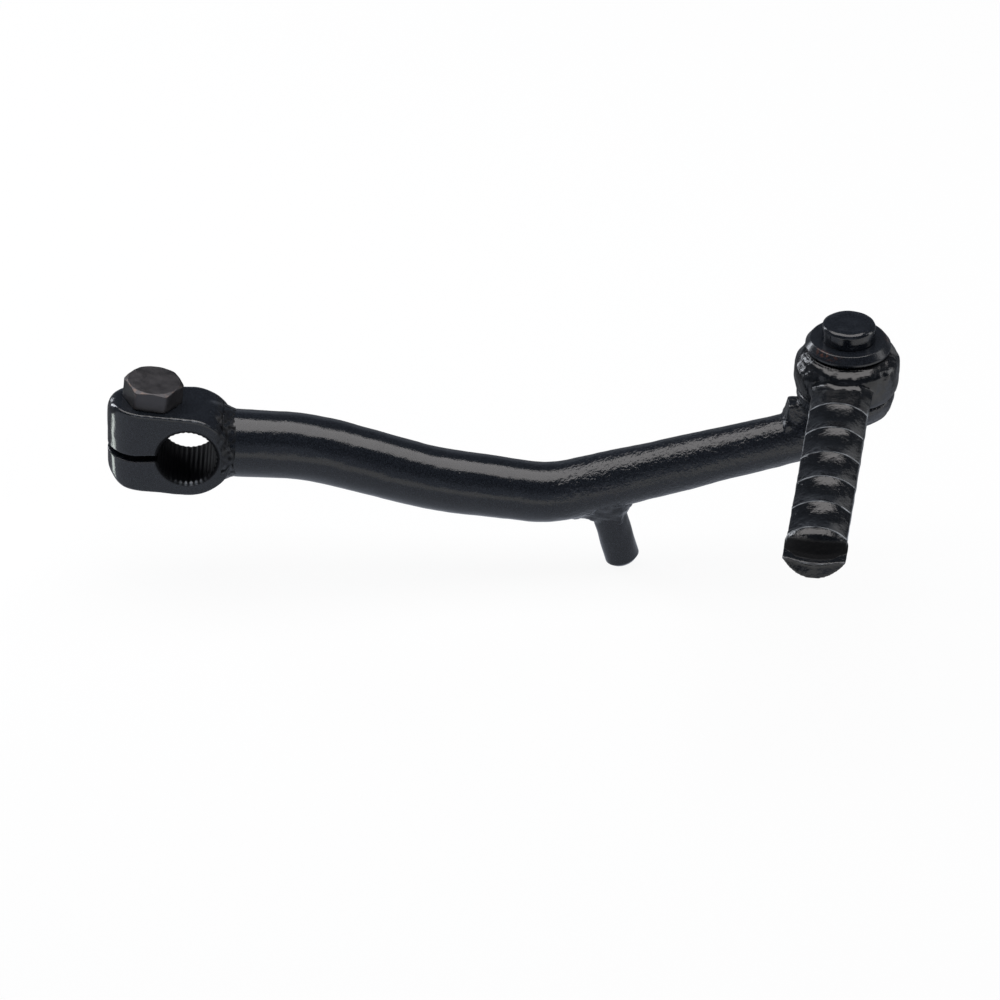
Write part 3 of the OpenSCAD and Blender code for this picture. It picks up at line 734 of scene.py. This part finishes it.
# head shell: oblong sections along x. Its height is level to the bore and falls as the eye's circle,
# and its left end is round in plan with an eased upper rim
def headShell():
    r, half, axis = clamp["eyeRadius"], clamp["width"] / 2, clamp["endAxis"]
    end, rim = axis - half, clamp["endRim"]
    t = np.linspace(0, 1, 240)
    xs = end + 1e-3 + (r - 1e-3 - end) * (1 - np.cos(math.pi * t)) / 2
    rings = []
    for x in xs:
        side = math.sqrt(max(half * half - min(x - axis, 0) ** 2, 1e-4))
        left = max(rim - (x - end), 0)
        high = math.sqrt(max(r * r - max(x, 0) ** 2, 1e-4)) - (rim - math.sqrt(max(rim ** 2 - left ** 2, 0)))
        most = 0.45 * high + 0.01
        corner = min(np.interp(x, [end, end + 4.5], [2.6, clamp["edge"]]), 0.45 * side, most)
        rear = min(np.interp(x, [end, -12, 0, 8], [6.0, 4.6, 2.0, 1.4]), 0.8 * side, most)
        rings.append(oblong(x, -side, side, -high, high, corner, rear))
    rings = np.array(rings)
    near = np.clip((-5 - rings[..., 0]) / 7, 0, 1)
    rings[..., 0] -= rings[..., 2] * math.tan(math.radians(clamp["endLean"])) * near
    return skin(leant(rings, clamp["tilt"]))


# neck: oval sections that shrink from the eye to the bar
def neckSkin():
    first, last = clamp["neckX"]
    t = np.linspace(0, 1, 30)
    angle = np.linspace(0, 2 * math.pi, 96, endpoint=False)
    x = first + (last - first) * t
    tall = np.interp(x, clamp["neckTallAt"], clamp["neckTall"])
    wide = clamp["neckWidth"] / 2 + (8.25 - clamp["neckWidth"] / 2) * t ** 3
    power = 0.55 + 0.45 * t
    c, s = np.cos(angle), np.sin(angle)
    y = wide[:, None] * np.sign(c) * np.abs(c) ** power[:, None]
    z = tall[:, None] * np.sign(s) * np.abs(s) ** power[:, None] - (0.1 + 0.9 * t)[:, None]
    return skin(np.stack([x[:, None] + 0 * y, y, z], -1))


# serrated bore cutter along y: radius = tooth wave round the bore, or the chamfer's cone where that is wider
def boreSkin():
    pitch = 2 * math.pi / clamp["teeth"]
    angle = np.arange(clamp["teeth"] * 12) * pitch / 12
    wave = np.abs(((angle / pitch) % 1) * 2 - 1)
    teeth = clamp["tipRadius"] + clamp["toothDepth"] * np.clip(wave * 1.25 - 0.12, 0, 1)
    half, deep = clamp["width"] / 2, clamp["chamfer"]
    ys = np.concatenate([[-half - 1], np.linspace(-half, -half + deep + 0.2, 6), [0],
                         np.linspace(half - deep - 0.2, half, 6), [half + 1]])
    cone = clamp["tipRadius"] + clamp["toothDepth"] + 0.1 - (half - np.abs(ys))
    radius = np.maximum(teeth[None, :], cone[:, None])
    return skin(np.stack([radius * np.cos(angle), ys[:, None] + 0 * radius, radius * np.sin(angle)], -1))


# places points of the bolt's own frame, z along its axis, on the head
def onBolt(points):
    return leant(points - np.array([clamp["boltOffset"], 0, 0]), clamp["boltLean"])


def boxSkin(low, high):
    (x0, y0, z0), (x1, y1, z1) = low, high
    ring = np.array([[(x, y0, z0), (x, y1, z0), (x, y1, z1), (x, y0, z1)] for x in (x0, x1)], float)
    return skin(ring)


# painted highlights, partly rubbed paint, along the upper front edge and on the lowest teeth at the bore's
# mouth, and painted shade with dull paint in the bore and on the neck
def clampWearHighlightShade(piece, points):
    level = leant(points, -clamp["tilt"])
    x, y, z = level.T
    r, front, line = clamp["eyeRadius"], -clamp["width"] / 2, clamp["edgeWearAndSheen"]
    rise = np.where(x < 0, z, np.hypot(x, z))
    ridge = bell(rise - r + 0.3, line) * bell(y - front - 0.3, line)
    ridge = ridge * (ramp(x + 16, 1.5) * ramp(5 - x, 1.5)) * (0.3 + 0.4 * lumps(points, 1.6, 13))
    reach = np.hypot(points[:, 0], points[:, 2])
    angle = np.arctan2(points[:, 2], points[:, 0])
    mouth = (reach < 7.9) * (reach > 7.0) * bell(y - front - 0.4, 0.35)
    middle, spread = clamp["mouthWearAndGlint"]
    low = bell(np.degrees(angle) - middle, spread)
    tooth = np.abs((angle * clamp["teeth"] / (2 * math.pi)) % 1 * 2 - 1)
    bore = ramp(8.1 - reach, 0.3) * (1 - mouth * low)
    neck = ramp(x - 5.5, 1.5) * (0.45 + 0.3 * lumps(points, 1.6, 14)) * (z > 3)
    setWearAndLight(piece, "wearAndHighlight", np.maximum(ridge, mouth * low * np.clip(1.5 - 2.2 * tooth, 0, 1)))
    setWearAndLight(piece, "dullAndShade", np.maximum(0.92 * bore, neck * (reach > 8.5)))


def makeClampHead():
    piece = meshOf("clampHead", [headShell(), neckSkin()])
    fuse(piece, clamp["firstVoxel"], 0)
    half = clamp["slot"] / 2
    carve(piece, meshOf("slotCut", [boxSkin((-30, -15, -half), (-3, 15, half))]))
    carve(piece, meshOf("boreCut", [boreSkin()]))
    hole, seat, seatRadius = clamp["boltHole"], clamp["seat"], clamp["seatRadius"]
    tool = lathe([(0.01, -16), (hole, -16), (hole, seat), (seatRadius, seat), (seatRadius, 18),
                  (0.01, 18)], 96)
    carve(piece, meshOf("boltCut", [skin(onBolt(tool))]))
    fuse(piece, clamp["voxel"], 2)
    points = verticesOf(piece)
    outside = ramp(np.hypot(points[:, 0], points[:, 2]) - 8.2, 1.0)
    swell(piece, points, (0.04 * lumps(points, 7, 11) + 0.01 * lumps(points, 2.4, 12) - 0.04) * outside)
    clampWearHighlightShade(piece, points)
    return dress(piece, "arm", "clamp_head", enamelPlain)


# pinch bolt

bolt = {
    "across": 13.0,
    "height": 5.3,
    "topCircle": 6.3,       # radius of the flat inside the chamfer
    "chamfer": 30.0,        # degrees
    "turn": -4.0,
    "lean": 7.5,            # of the head, square to the seat
    "axis": 9.75,           # distance of the head's axis from the bore, along the seat
    "seat": 10.85,
    "cornerWear": 0.25,
    "length": 20.0,
    "thread": 8.0,
    "pitch": 1.25,
    "threadDepth": 0.62,
    "plainLength": 8.0,     # of the shank under the head
    "rustSide": -145.0,     # degrees, where the edges are rubbed most
}


# hexagon head by angle and height: radius = the hexagon's wall, rounded off at its corners;
# the wall's upper end falls with the chamfer's cone
def boltHeadSkin():
    angle = np.linspace(0, 2 * math.pi, 360, endpoint=False)
    off = (angle - math.radians(bolt["turn"] + 30) + math.pi / 6) % (math.pi / 3) - math.pi / 6
    wall = bolt["across"] / 2 / np.cos(off)
    wall = wall - bolt["cornerWear"] * np.clip((np.abs(off) / (math.pi / 6)), 0, 1) ** 12
    drop = (wall - bolt["topCircle"]) * math.tan(math.radians(bolt["chamfer"]))
    top = bolt["height"] - drop
    rows = [(0.3 * wall, 0 * wall)]
    rows += [(wall - 0.25 * (1 - t), 0.25 * t + 0 * wall) for t in np.linspace(0, 1, 4)]
    rows += [(wall, 0.25 + (top - 0.25) * t) for t in np.linspace(0.05, 1, 24)]
    rows += [(wall + (bolt["topCircle"] - wall) * t, top + drop * t) for t in np.linspace(0.1, 1, 8)]
    rows += [(bolt["topCircle"] * (1 - t) + 0 * wall, bolt["height"] - 0.08 * t + 0 * wall)
             for t in np.linspace(0.05, 0.98, 24)]
    return skin(np.array([np.stack([r * np.cos(angle), r * np.sin(angle), z], -1) for r, z in rows]))


# threaded shank: radius falls and rises once a pitch along a line that climbs once a turn
def shankSkin():
    angle = np.linspace(0, 2 * math.pi, 60, endpoint=False)
    z = np.arange(-bolt["length"], 0.3, bolt["pitch"] / 10)
    phase = (z[:, None] / bolt["pitch"] - angle[None] / (2 * math.pi)) % 1
    thread = bolt["threadDepth"] * np.abs(phase * 2 - 1) * (z < -bolt["plainLength"])[:, None]
    point = ramp(z + bolt["length"], 1.2)[:, None]
    radius = np.minimum(bolt["thread"] / 2 - thread, bolt["thread"] / 2 - 0.9 * (1 - point))
    return skin(np.stack([radius * np.cos(angle), radius * np.sin(angle), z[:, None] + 0 * radius], -1))


# rubbed oxide on the upright corners and the chamfer's rim, most on the left
def boltWear(piece, points):
    own = leant(points, -bolt["lean"]) + np.array([bolt["axis"], 0, -bolt["seat"]])
    reach = np.hypot(own[:, 0], own[:, 1])
    angle = np.arctan2(own[:, 1], own[:, 0]) - math.radians(bolt["turn"])
    corner = np.exp(-((angle + math.pi / 6) % (math.pi / 3) - math.pi / 6) ** 2 / 0.004) * (reach > 6.6)
    rim = bell(own[:, 2] - bolt["height"] + (reach - bolt["topCircle"]) * 0.577, 0.25) * (reach > 6.35)
    beside = np.degrees(angle) - bolt["rustSide"]
    left = bell(beside, 40) + bell(beside - 360, 40)
    marked = np.maximum(corner * 0.12, rim * 0.2) + 0.2 * left * np.maximum(corner, rim)
    setWearAndLight(piece, "wearAndHighlight", marked * (0.6 + 0.6 * lumps(points, 1.5, 22)))


def makePinchBolt():
    parts = []
    verts, quads, tris = boltHeadSkin()
    parts.append((leant(verts + np.array([-bolt["axis"], 0, bolt["seat"]]), bolt["lean"]), quads, tris))
    verts, quads, tris = shankSkin()
    parts.append((onBolt(verts + np.array([0, 0, clamp["seat"]])), quads, tris))
    piece = meshOf("pinchBolt", parts)
    points = verticesOf(piece)
    swell(piece, points, 0.02 * lumps(points, 2.5, 21))
    boltWear(piece, points)
    return dress(piece, "arm", "pinch_bolt", oxide)


# welds

weld = {
    "clampLength": 3.3,
    "clampThickness": 1.5,
    "clampStart": -3.2,     # from the bar's first corner, inside the neck
    "barRadius": 8.25,
    "ripples": 34,
    "pegReach": 2.9,
    "pegRunout": 5.0,       # further reach towards the clamp
    "pegFoot": 3.2,         # height down the peg
    "pegRoot": 7.4,         # about the bar's radius at the peg
    "pegStart": 7.0,        # radius in the bar where the bead starts
}


# sleeve round the bar by angle and length: a fillet that is thick at the neck and runs out on the bar
# in a hollow curve, with a wandering foot and faint ripples
def makeClampWeld():
    around = np.linspace(0, 2 * math.pi, 360, endpoint=False)[:, None]
    t = np.linspace(0, 1, 60)[None]
    wander = 0.5 * np.sin(2 * around + 0.7) + 0.4 * np.sin(5 * around + 2.1) + 0.25 * np.sin(9 * around)
    top = bell(around - math.radians(110), 0.8)
    front = bell(around - math.radians(165), 0.25)
    length = weld["clampLength"] + 0.35 * wander + 0.2 * top + 0.5 * front
    thick = weld["clampThickness"] * (0.85 + 0.1 * np.sin(3 * around + 1) + 0.15 * top)
    ripple = 0.02 * np.cos(weld["ripples"] * around + 3 * t)
    outer = weld["barRadius"] + (thick + ripple) * (1 - t) ** 1.35 + 0.08 * (1 - t)
    along = weld["clampStart"] + length * t
    outer = np.hstack([outer, 7.6 + 0 * outer[:, ::-1]])
    along = np.hstack([along, along[:, ::-1]])
    x, z, slope, _ = armLine()
    way = np.array([math.cos(slope[0]), 0, math.sin(slope[0])])
    up = np.array([-way[2], 0, way[0]])
    rings = (np.array([x[0], 0, z[0]]) + along[..., None] * way + (outer * np.sin(around))[..., None] * up
             + (outer * np.cos(around))[..., None] * np.array([0, 1.0, 0]))
    piece = meshOf("clampWeld", [ringSkin(rings)])
    points = verticesOf(piece)
    swell(piece, points, 0.04 * lumps(points, 4, 31) + 0.01 * lumps(points, 1.4, 32))
    # painted shade over the weld: near black, mottled dull paint
    setWearAndLight(piece, "dullAndShade", 0.45 + 0.4 * lumps(points, 1.5, 33))
    return dress(piece, "arm", "clamp_weld", enamelWeld)


# peg's frame: x towards the clamp head, z down along the peg; the root is on the bar's centre line
peg = {"diameter": 8.6, "length": 24.0, "fromBend": 12.7, "chamfer": 1.2}


def onPeg(points):
    a, b = np.array(arm["corners"][3]), np.array(arm["corners"][4])
    way = (b - a) / np.linalg.norm(b - a)
    root = a + way * peg["fromBend"]
    x, y, z = points[..., 0], points[..., 1], points[..., 2]
    down = np.array([way[1], -way[0]])
    return np.stack([root[0] - way[0] * x + down[0] * z, y, root[1] - way[1] * x + down[1] * z], -1)


def makeStopPeg():
    r, c, l = peg["diameter"] / 2, peg["chamfer"], peg["length"]
    profile = eased([(0.01, 4), (r, 4), (r, l - c), (r - c, l), (0.01, l)], 1, 0.25)
    piece = meshOf("stopPeg", [skin(onPeg(lathe(profile)))])
    points = verticesOf(piece)
    swell(piece, points, 0.04 * lumps(points, 5, 41) - 0.03)
    return dress(piece, "arm", "stop_peg", enamelPlain)


# fillet bead by angle and depth: from the bar's underside it reaches out from the peg, more on the
# clamp's side, and falls in a hollow curve to nothing at its foot on the peg
def makePegWeld():
    psi = np.linspace(0, 2 * math.pi, 200, endpoint=False)[None]
    t = np.linspace(0, 1, 40)[:, None]
    front = np.clip(np.cos(psi), 0, 1)
    flare = weld["pegReach"] * (1 + 0.12 * np.sin(3 * psi + 1)) + weld["pegRunout"] * front ** 6
    foot = weld["pegFoot"] * (1 + 0.12 * np.sin(2 * psi + 0.4) + 0.1 * np.sin(5 * psi))
    hollow = (1 - t) ** 1.7
    flare = flare * (1 - 0.3 * np.sin(psi) ** 2)
    radius = peg["diameter"] / 2 - 0.15 + (flare + 0.15) * hollow + 0.28 * np.sin(math.pi * t)
    start = np.sqrt(np.maximum(weld["pegStart"] ** 2 - (radius[:1] * np.sin(psi)) ** 2, 1))
    z = start + (weld["pegRoot"] + foot - start) * t
    bead = onPeg(np.stack([radius * np.cos(psi), radius * np.sin(psi), z], -1))
    piece = meshOf("pegWeld", [skin(bead)])
    points = verticesOf(piece)
    swell(piece, points, 0.17 * lumps(points, 3, 51) + 0.04 * lumps(points, 1.2, 52))
    return dress(piece, "arm", "peg_weld", enamelWeld)


# pivot

pivot = {
    "shank": 5.0,
    "peenRadius": 6.0,
    "peenLow": 7.6,
    "headRadius": 6.5,
    "headHeight": 4.3,
    "washerRadius": 10.4,
    "washerBevel": 1.15,
    "washerLow": 24.1,
    "washerTop": 26.9,
    "rust": ((-130.0, 16.0, 1.0), (4.0, 12.0, 0.5)),    # middle and width in degrees, and strength
}


def makePivotPin():
    low, top = pivot["washerTop"], pivot["washerTop"] + pivot["headHeight"]
    r, shank, peen, foot = pivot["headRadius"], pivot["shank"], pivot["peenRadius"], pivot["peenLow"]
    profile = eased([(0.01, foot), (peen - 0.5, foot), (peen, foot + 0.3), (shank, foot + 1.6),
                     (shank, low - 0.02), (r, low - 0.02), (r, top - 1.0), (r - 0.3, top - 0.4),
                     (r - 0.9, top - 0.08), (r - 2.2, top), (2.5, top - 0.12), (0.01, top - 0.05)], 2, 0.16)
    piece = meshOf("pivotPin", [skin(pivotLathe(profile, 180))])
    points = verticesOf(piece)
    swell(piece, points, ramp(points[:, 2] - low, 1.0) * (0.04 * lumps(points, 4, 61) - 0.045))
    return dress(piece, "arm", "pivot_pin", enamelPlain)


# bevelled washer, with fine rust along the bevel's upper edge
def makeTopWasher():
    r, low, top, bevel = pivot["washerRadius"], pivot["washerLow"], pivot["washerTop"], pivot["washerBevel"]
    bore = pivot["shank"]
    profile = eased([(bore, low), (r - 0.6, low), (r, low + 0.6), (r, low + 1.15), (r - bevel, top - 0.1),
                     (r - bevel - 0.15, top), (6.6, top - 0.05), (bore, top - 0.05)], 1, 0.1)
    piece = meshOf("topWasher", [ringSkin(pivotLathe(profile, 180))])
    points = verticesOf(piece)
    swell(piece, points, 0.03 * lumps(points, 5, 71) - 0.02)
    x, y = points[:, 0] - arm["eyeX"], points[:, 1]
    edge = bell(np.hypot(x, y) - r + 1.0, 0.5) * (points[:, 2] > low + 1)
    way = np.degrees(np.arctan2(y, x))
    where = sum(strength * bell(way - middle, width) for middle, width, strength in pivot["rust"])
    specks = np.clip(lumps(points, 0.9, 72) + 0.4 * lumps(points, 3, 73) - 0.1, 0, 0.75)
    setWearAndLight(piece, "wearAndHighlight", edge * where * specks)
    return dress(piece, "arm", "top_washer", enamelWasher)


# pedal, in a frame of its own: x to the right, -y along the grip

pedal = {
    "turn": 10.6,           # degrees from square to the arm
    "parting": 18.4,
    "bossLow": 13.2,
    "bossHigh": 24.0,
    "bossRadius": 13.0,
    "bore": 5.07,
    "well": 2.6,
    "wellDepth": 8.0,
    "wellOffset": 8.5,
    "shoulderCut": 1.1,     # taken off the boss's upper left side
    "reach": 85.0,
    "neckHalf": (8.0, 7.5),        # half width at 0 and 12 mm from the pin
    "gripHalf": 7.1,
    "flangeHalf": 7.3,
    "rise": 4.2,
    "drop": 4.1,
    "ribs": 6,
    "ribPitch": 10.6,
    "ribFirst": 23.0,
    "ribDepth": 0.92,
    "neckAt": (0, 12.0, 12.6, 13.0, 13.5, 14.2, 16.0, 18.0, 20.0, 21.6, 23.0),
    "neckFall": (1.2, 1.2, 1.3, 1.6, 1.85, 1.98, 2.0, 1.9, 1.3, 0.6, 0.0),
    "tipAt": (76.0, 77.0, 78.0, 79.0, 81.6, 82.2, 85.0),
    "tipShare": (1.0, 0.95, 0.83, 0.6, 0.06, 0.02, 0.01),    # of the rise that is left there
    "tipCurve": 1.4,        # the step to the tip lies that much nearer the pin at the sides
    "wallFrom": 78.6,       # painted shade with dull paint on the step
    "wallTo": 83.6,
    "bulge": 1.8,
    "voxel": 0.246,
}


def lastCrest():
    return pedal["ribFirst"] + (pedal["ribs"] - 1) * pedal["ribPitch"]


# fall of the surface between two crests: a shallow round scallop, 4 * depth * share * (1 - share)
def ribFall(s):
    share = ((s - pedal["ribFirst"]) / pedal["ribPitch"]) % 1
    return pedal["ribDepth"] * 4 * share * (1 - share)


# height of a round that rises by rise in the middle of a half width: sqrt(R^2 - x^2) - (R - rise)
def cap(x, half, rise):
    radius = (half ** 2 + rise ** 2) / (2 * rise)
    return np.sqrt(radius ** 2 - x ** 2) - (radius - rise)


# grip: each section is an upper and a lower round cut off at the grip's width. The upper round sinks
# in the hollows, most in the middle; past the last crest it drops over a step to the thin flange
def gripSkin():
    s = np.arange(6.5, pedal["reach"] + 0.01, 0.12)
    first, last = pedal["ribFirst"], lastCrest()
    root, neck = pedal["neckHalf"]
    half = np.interp(s, [0, 12, 20, last - 1, last, last + 0.8, last + 1.6],
                     [root, neck, pedal["gripHalf"], pedal["gripHalf"] - 0.25, pedal["gripHalf"] - 0.2,
                      pedal["flangeHalf"], pedal["flangeHalf"]])
    depth = np.where((s > first) & (s < last), ribFall(s), 0)
    depth = np.where(s <= first, np.interp(s, pedal["neckAt"], pedal["neckFall"]), depth)
    u = np.linspace(-1, 1, 61)
    x = half[:, None] * u
    arch = cap(x, pedal["gripHalf"] + 0.9, pedal["rise"])
    upper = arch - depth[:, None] * (0.3 + 0.7 * np.exp(-(u / 0.6) ** 2))
    share = np.interp(s[:, None] + pedal["tipCurve"] * u ** 2, pedal["tipAt"], pedal["tipShare"])
    upper = np.where(s[:, None] > last, arch * share, upper)
    lower = -cap(x, pedal["flangeHalf"] + 0.2, pedal["drop"])
    upper = np.maximum(upper, lower + 0.02)
    v = np.linspace(0, 1, 9)[1:-1]
    rightZ = upper[:, -1:] + (lower[:, -1:] - upper[:, -1:]) * v
    leftZ = lower[:, :1] + (upper[:, :1] - lower[:, :1]) * v
    across = np.hstack([x, half[:, None] + 0 * rightZ, x[:, ::-1], -half[:, None] + 0 * leftZ])
    height = np.hstack([upper, rightZ, lower[:, ::-1], leftZ])
    tip = np.clip((s - last) / (pedal["reach"] - last), 0, 1)
    along = s[:, None] - (pedal["bulge"] * tip)[:, None] * (across / half[:, None]) ** 2
    return skin(np.stack([across, -along, pedal["parting"] + height], -1))


# boss with the pin's bore and the blind hole of the detent
def makeBoss():
    r, low, high, bore = pedal["bossRadius"], pedal["bossLow"], pedal["bossHigh"], pedal["bore"]
    profile = [(bore, low), (r - 1.2, low), (r - 0.6, low + 0.5), (r - 0.2, 15.2), (r, 17.2), (r, 19.0),
               (r - 0.05, 20.6), (r - 0.3, 21.7), (r - 0.7, 22.4), (r - 1.3, 22.95), (r - 2.0, 23.4),
               (r - 2.8, 23.75), (r - 3.7, high), (bore, high), (bore, low)]
    boss = meshOf("boss", [ringSkin(lathe(filled(profile, 0.4)[:-1], 120))])
    well, top = pedal["well"], low + pedal["wellDepth"]
    tool = lathe([(0.01, low - 2), (well, low - 2), (well, top), (0.01, top)], 48)
    tool[..., 1] += pedal["wellOffset"]
    carve(boss, meshOf("ballWell", [skin(tool)]))
    return boss


# signed distance of each point from the nearest crest, along the grip
def fromCrest(s):
    return (((s - pedal["ribFirst"]) / pedal["ribPitch"] + 0.5) % 1 - 0.5) * pedal["ribPitch"]


# forged unevenness: strong on the boss, where the upper left side is also cut down, and fine on the
# grip, with small ridges on the left just before each crest
def roughenPedal(piece, points):
    r, low, high = pedal["bossRadius"], pedal["bossLow"], pedal["bossHigh"]
    x, y, z = points.T
    reach, s = np.hypot(x, y), -y
    onBoss = ramp(17 - s, 3)
    push = onBoss * ramp(reach - 8, 3) * (0.13 * lumps(points, 7, 81) + 0.045 * lumps(points, 2.4, 82) - 0.12)
    shoulder = ramp(-x, 10) * bell(z - 22.0, 1.8)
    push -= pedal["shoulderCut"] * shoulder * ramp(reach - 8.5, 1.5) * onBoss
    push += (1 - onBoss) * (0.035 * lumps(points, 4, 83) + 0.01 * lumps(points, 1.5, 84) - 0.03)
    before = bell(fromCrest(s) + 1.5, 0.9) * (s > 20) * (s < lastCrest() + 1)
    push += before * np.clip(0.4 - x / 6, 0, 1) * 0.09 * lumps(points, 1.5, 86)
    flat = (z < low + 0.3) | (z > high - 0.3)
    push = np.where(flat & (onBoss > 0.5), 0, push)
    moved = points + normalsOf(piece) * push[:, None]
    spread = np.hypot(moved[:, 0], moved[:, 1])
    most = r - 0.03
    moved[:, :2] *= np.where((moved[:, 1] > 0) & (spread > most), most / spread, 1)[:, None]
    return moved


# painted highlights, partly rubbed paint, on the crests, the tip's rim and the grip's side edges, and painted
# shade with dull paint on the step
def pedalWearHighlightShade(piece, points):
    x, s, z = points[:, 0], -points[:, 1], points[:, 2]
    middle, side = pedal["parting"], pedal["flangeHalf"]
    crest = bell(fromCrest(s) + 0.1, 0.2) * (s > 20) * (s < lastCrest() + 2)
    crest *= (z > middle) * (0.4 + 0.6 * np.abs(x / 7) ** 1.5)
    rimAt = pedal["reach"] - pedal["bulge"] * (x / side) ** 2
    tipEdge = bell(z - middle, 0.3) * bell(s - rimAt + 0.1, 0.22)
    root, neck = pedal["neckHalf"]
    edgeX = np.interp(s, [0, 12, 20], [root, neck, pedal["gripHalf"]])
    sideEdge = bell(np.abs(x) - edgeX, 0.22) * bell(z - 19.5, 0.3) * (s > 15.5)
    marked = np.maximum(crest * 0.9, np.maximum(tipEdge * 0.8, sideEdge * 0.8))
    setWearAndLight(piece, "wearAndHighlight", marked * (0.65 + 0.35 * lumps(points, 3, 85)))
    foot = s + pedal["tipCurve"] * (x / side) ** 2 + pedal["bulge"] * (x / 9) ** 2
    step = ramp(foot - pedal["wallFrom"], 0.8) * ramp(pedal["wallTo"] - foot, 0.8)
    # painted shade on the step's wall: near black and matt
    setWearAndLight(piece, "dullAndShade", step * (z > middle + 0.05))


# from the pedal's frame to the object's
def onPedal(points):
    a = math.radians(-pedal["turn"])
    x, y, z = points[..., 0], points[..., 1], points[..., 2]
    turnedX = arm["eyeX"] + x * math.cos(a) - y * math.sin(a)
    return np.stack([turnedX, x * math.sin(a) + y * math.cos(a), z], -1)


def makePedal():
    low, high, bore = pedal["bossLow"], pedal["bossHigh"], pedal["bore"]
    boss = makeBoss()
    piece = meshOf("pedalForging", [gripSkin()])
    merge(piece, boss)
    fuse(piece, pedal["voxel"], 2)
    points = verticesOf(piece)
    reach = np.hypot(points[:, 0], points[:, 1])
    wall = (np.abs(reach - bore) < 0.3) & (points[:, 2] > low + 0.2) & (points[:, 2] < high - 0.2)
    points[wall, :2] *= (bore / reach[wall])[:, None]
    moved = roughenPedal(piece, points)
    pedalWearHighlightShade(piece, points)
    setVertices(piece, onPedal(moved))
    return dress(piece, "pedal", "pedal", enamelPedal)


makeClampHead()
makePinchBolt()
makeClampWeld()
makeArm()
makeStopPeg()
makePegWeld()
makePivotPin()
makeTopWasher()

# the panel behind on the right lights the pedal alone
panelTargets = bpy.data.collections.new("gripOnly")
panelTargets.objects.link(makePedal())
lit["panelRight"].light_linking.receiver_collection = panelTargets

for name, finish in (("detent_ball", bearing), ("detent_spring", wire)):
    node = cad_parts[name]
    node.data.materials.clear()
    node.data.materials.append(finish)
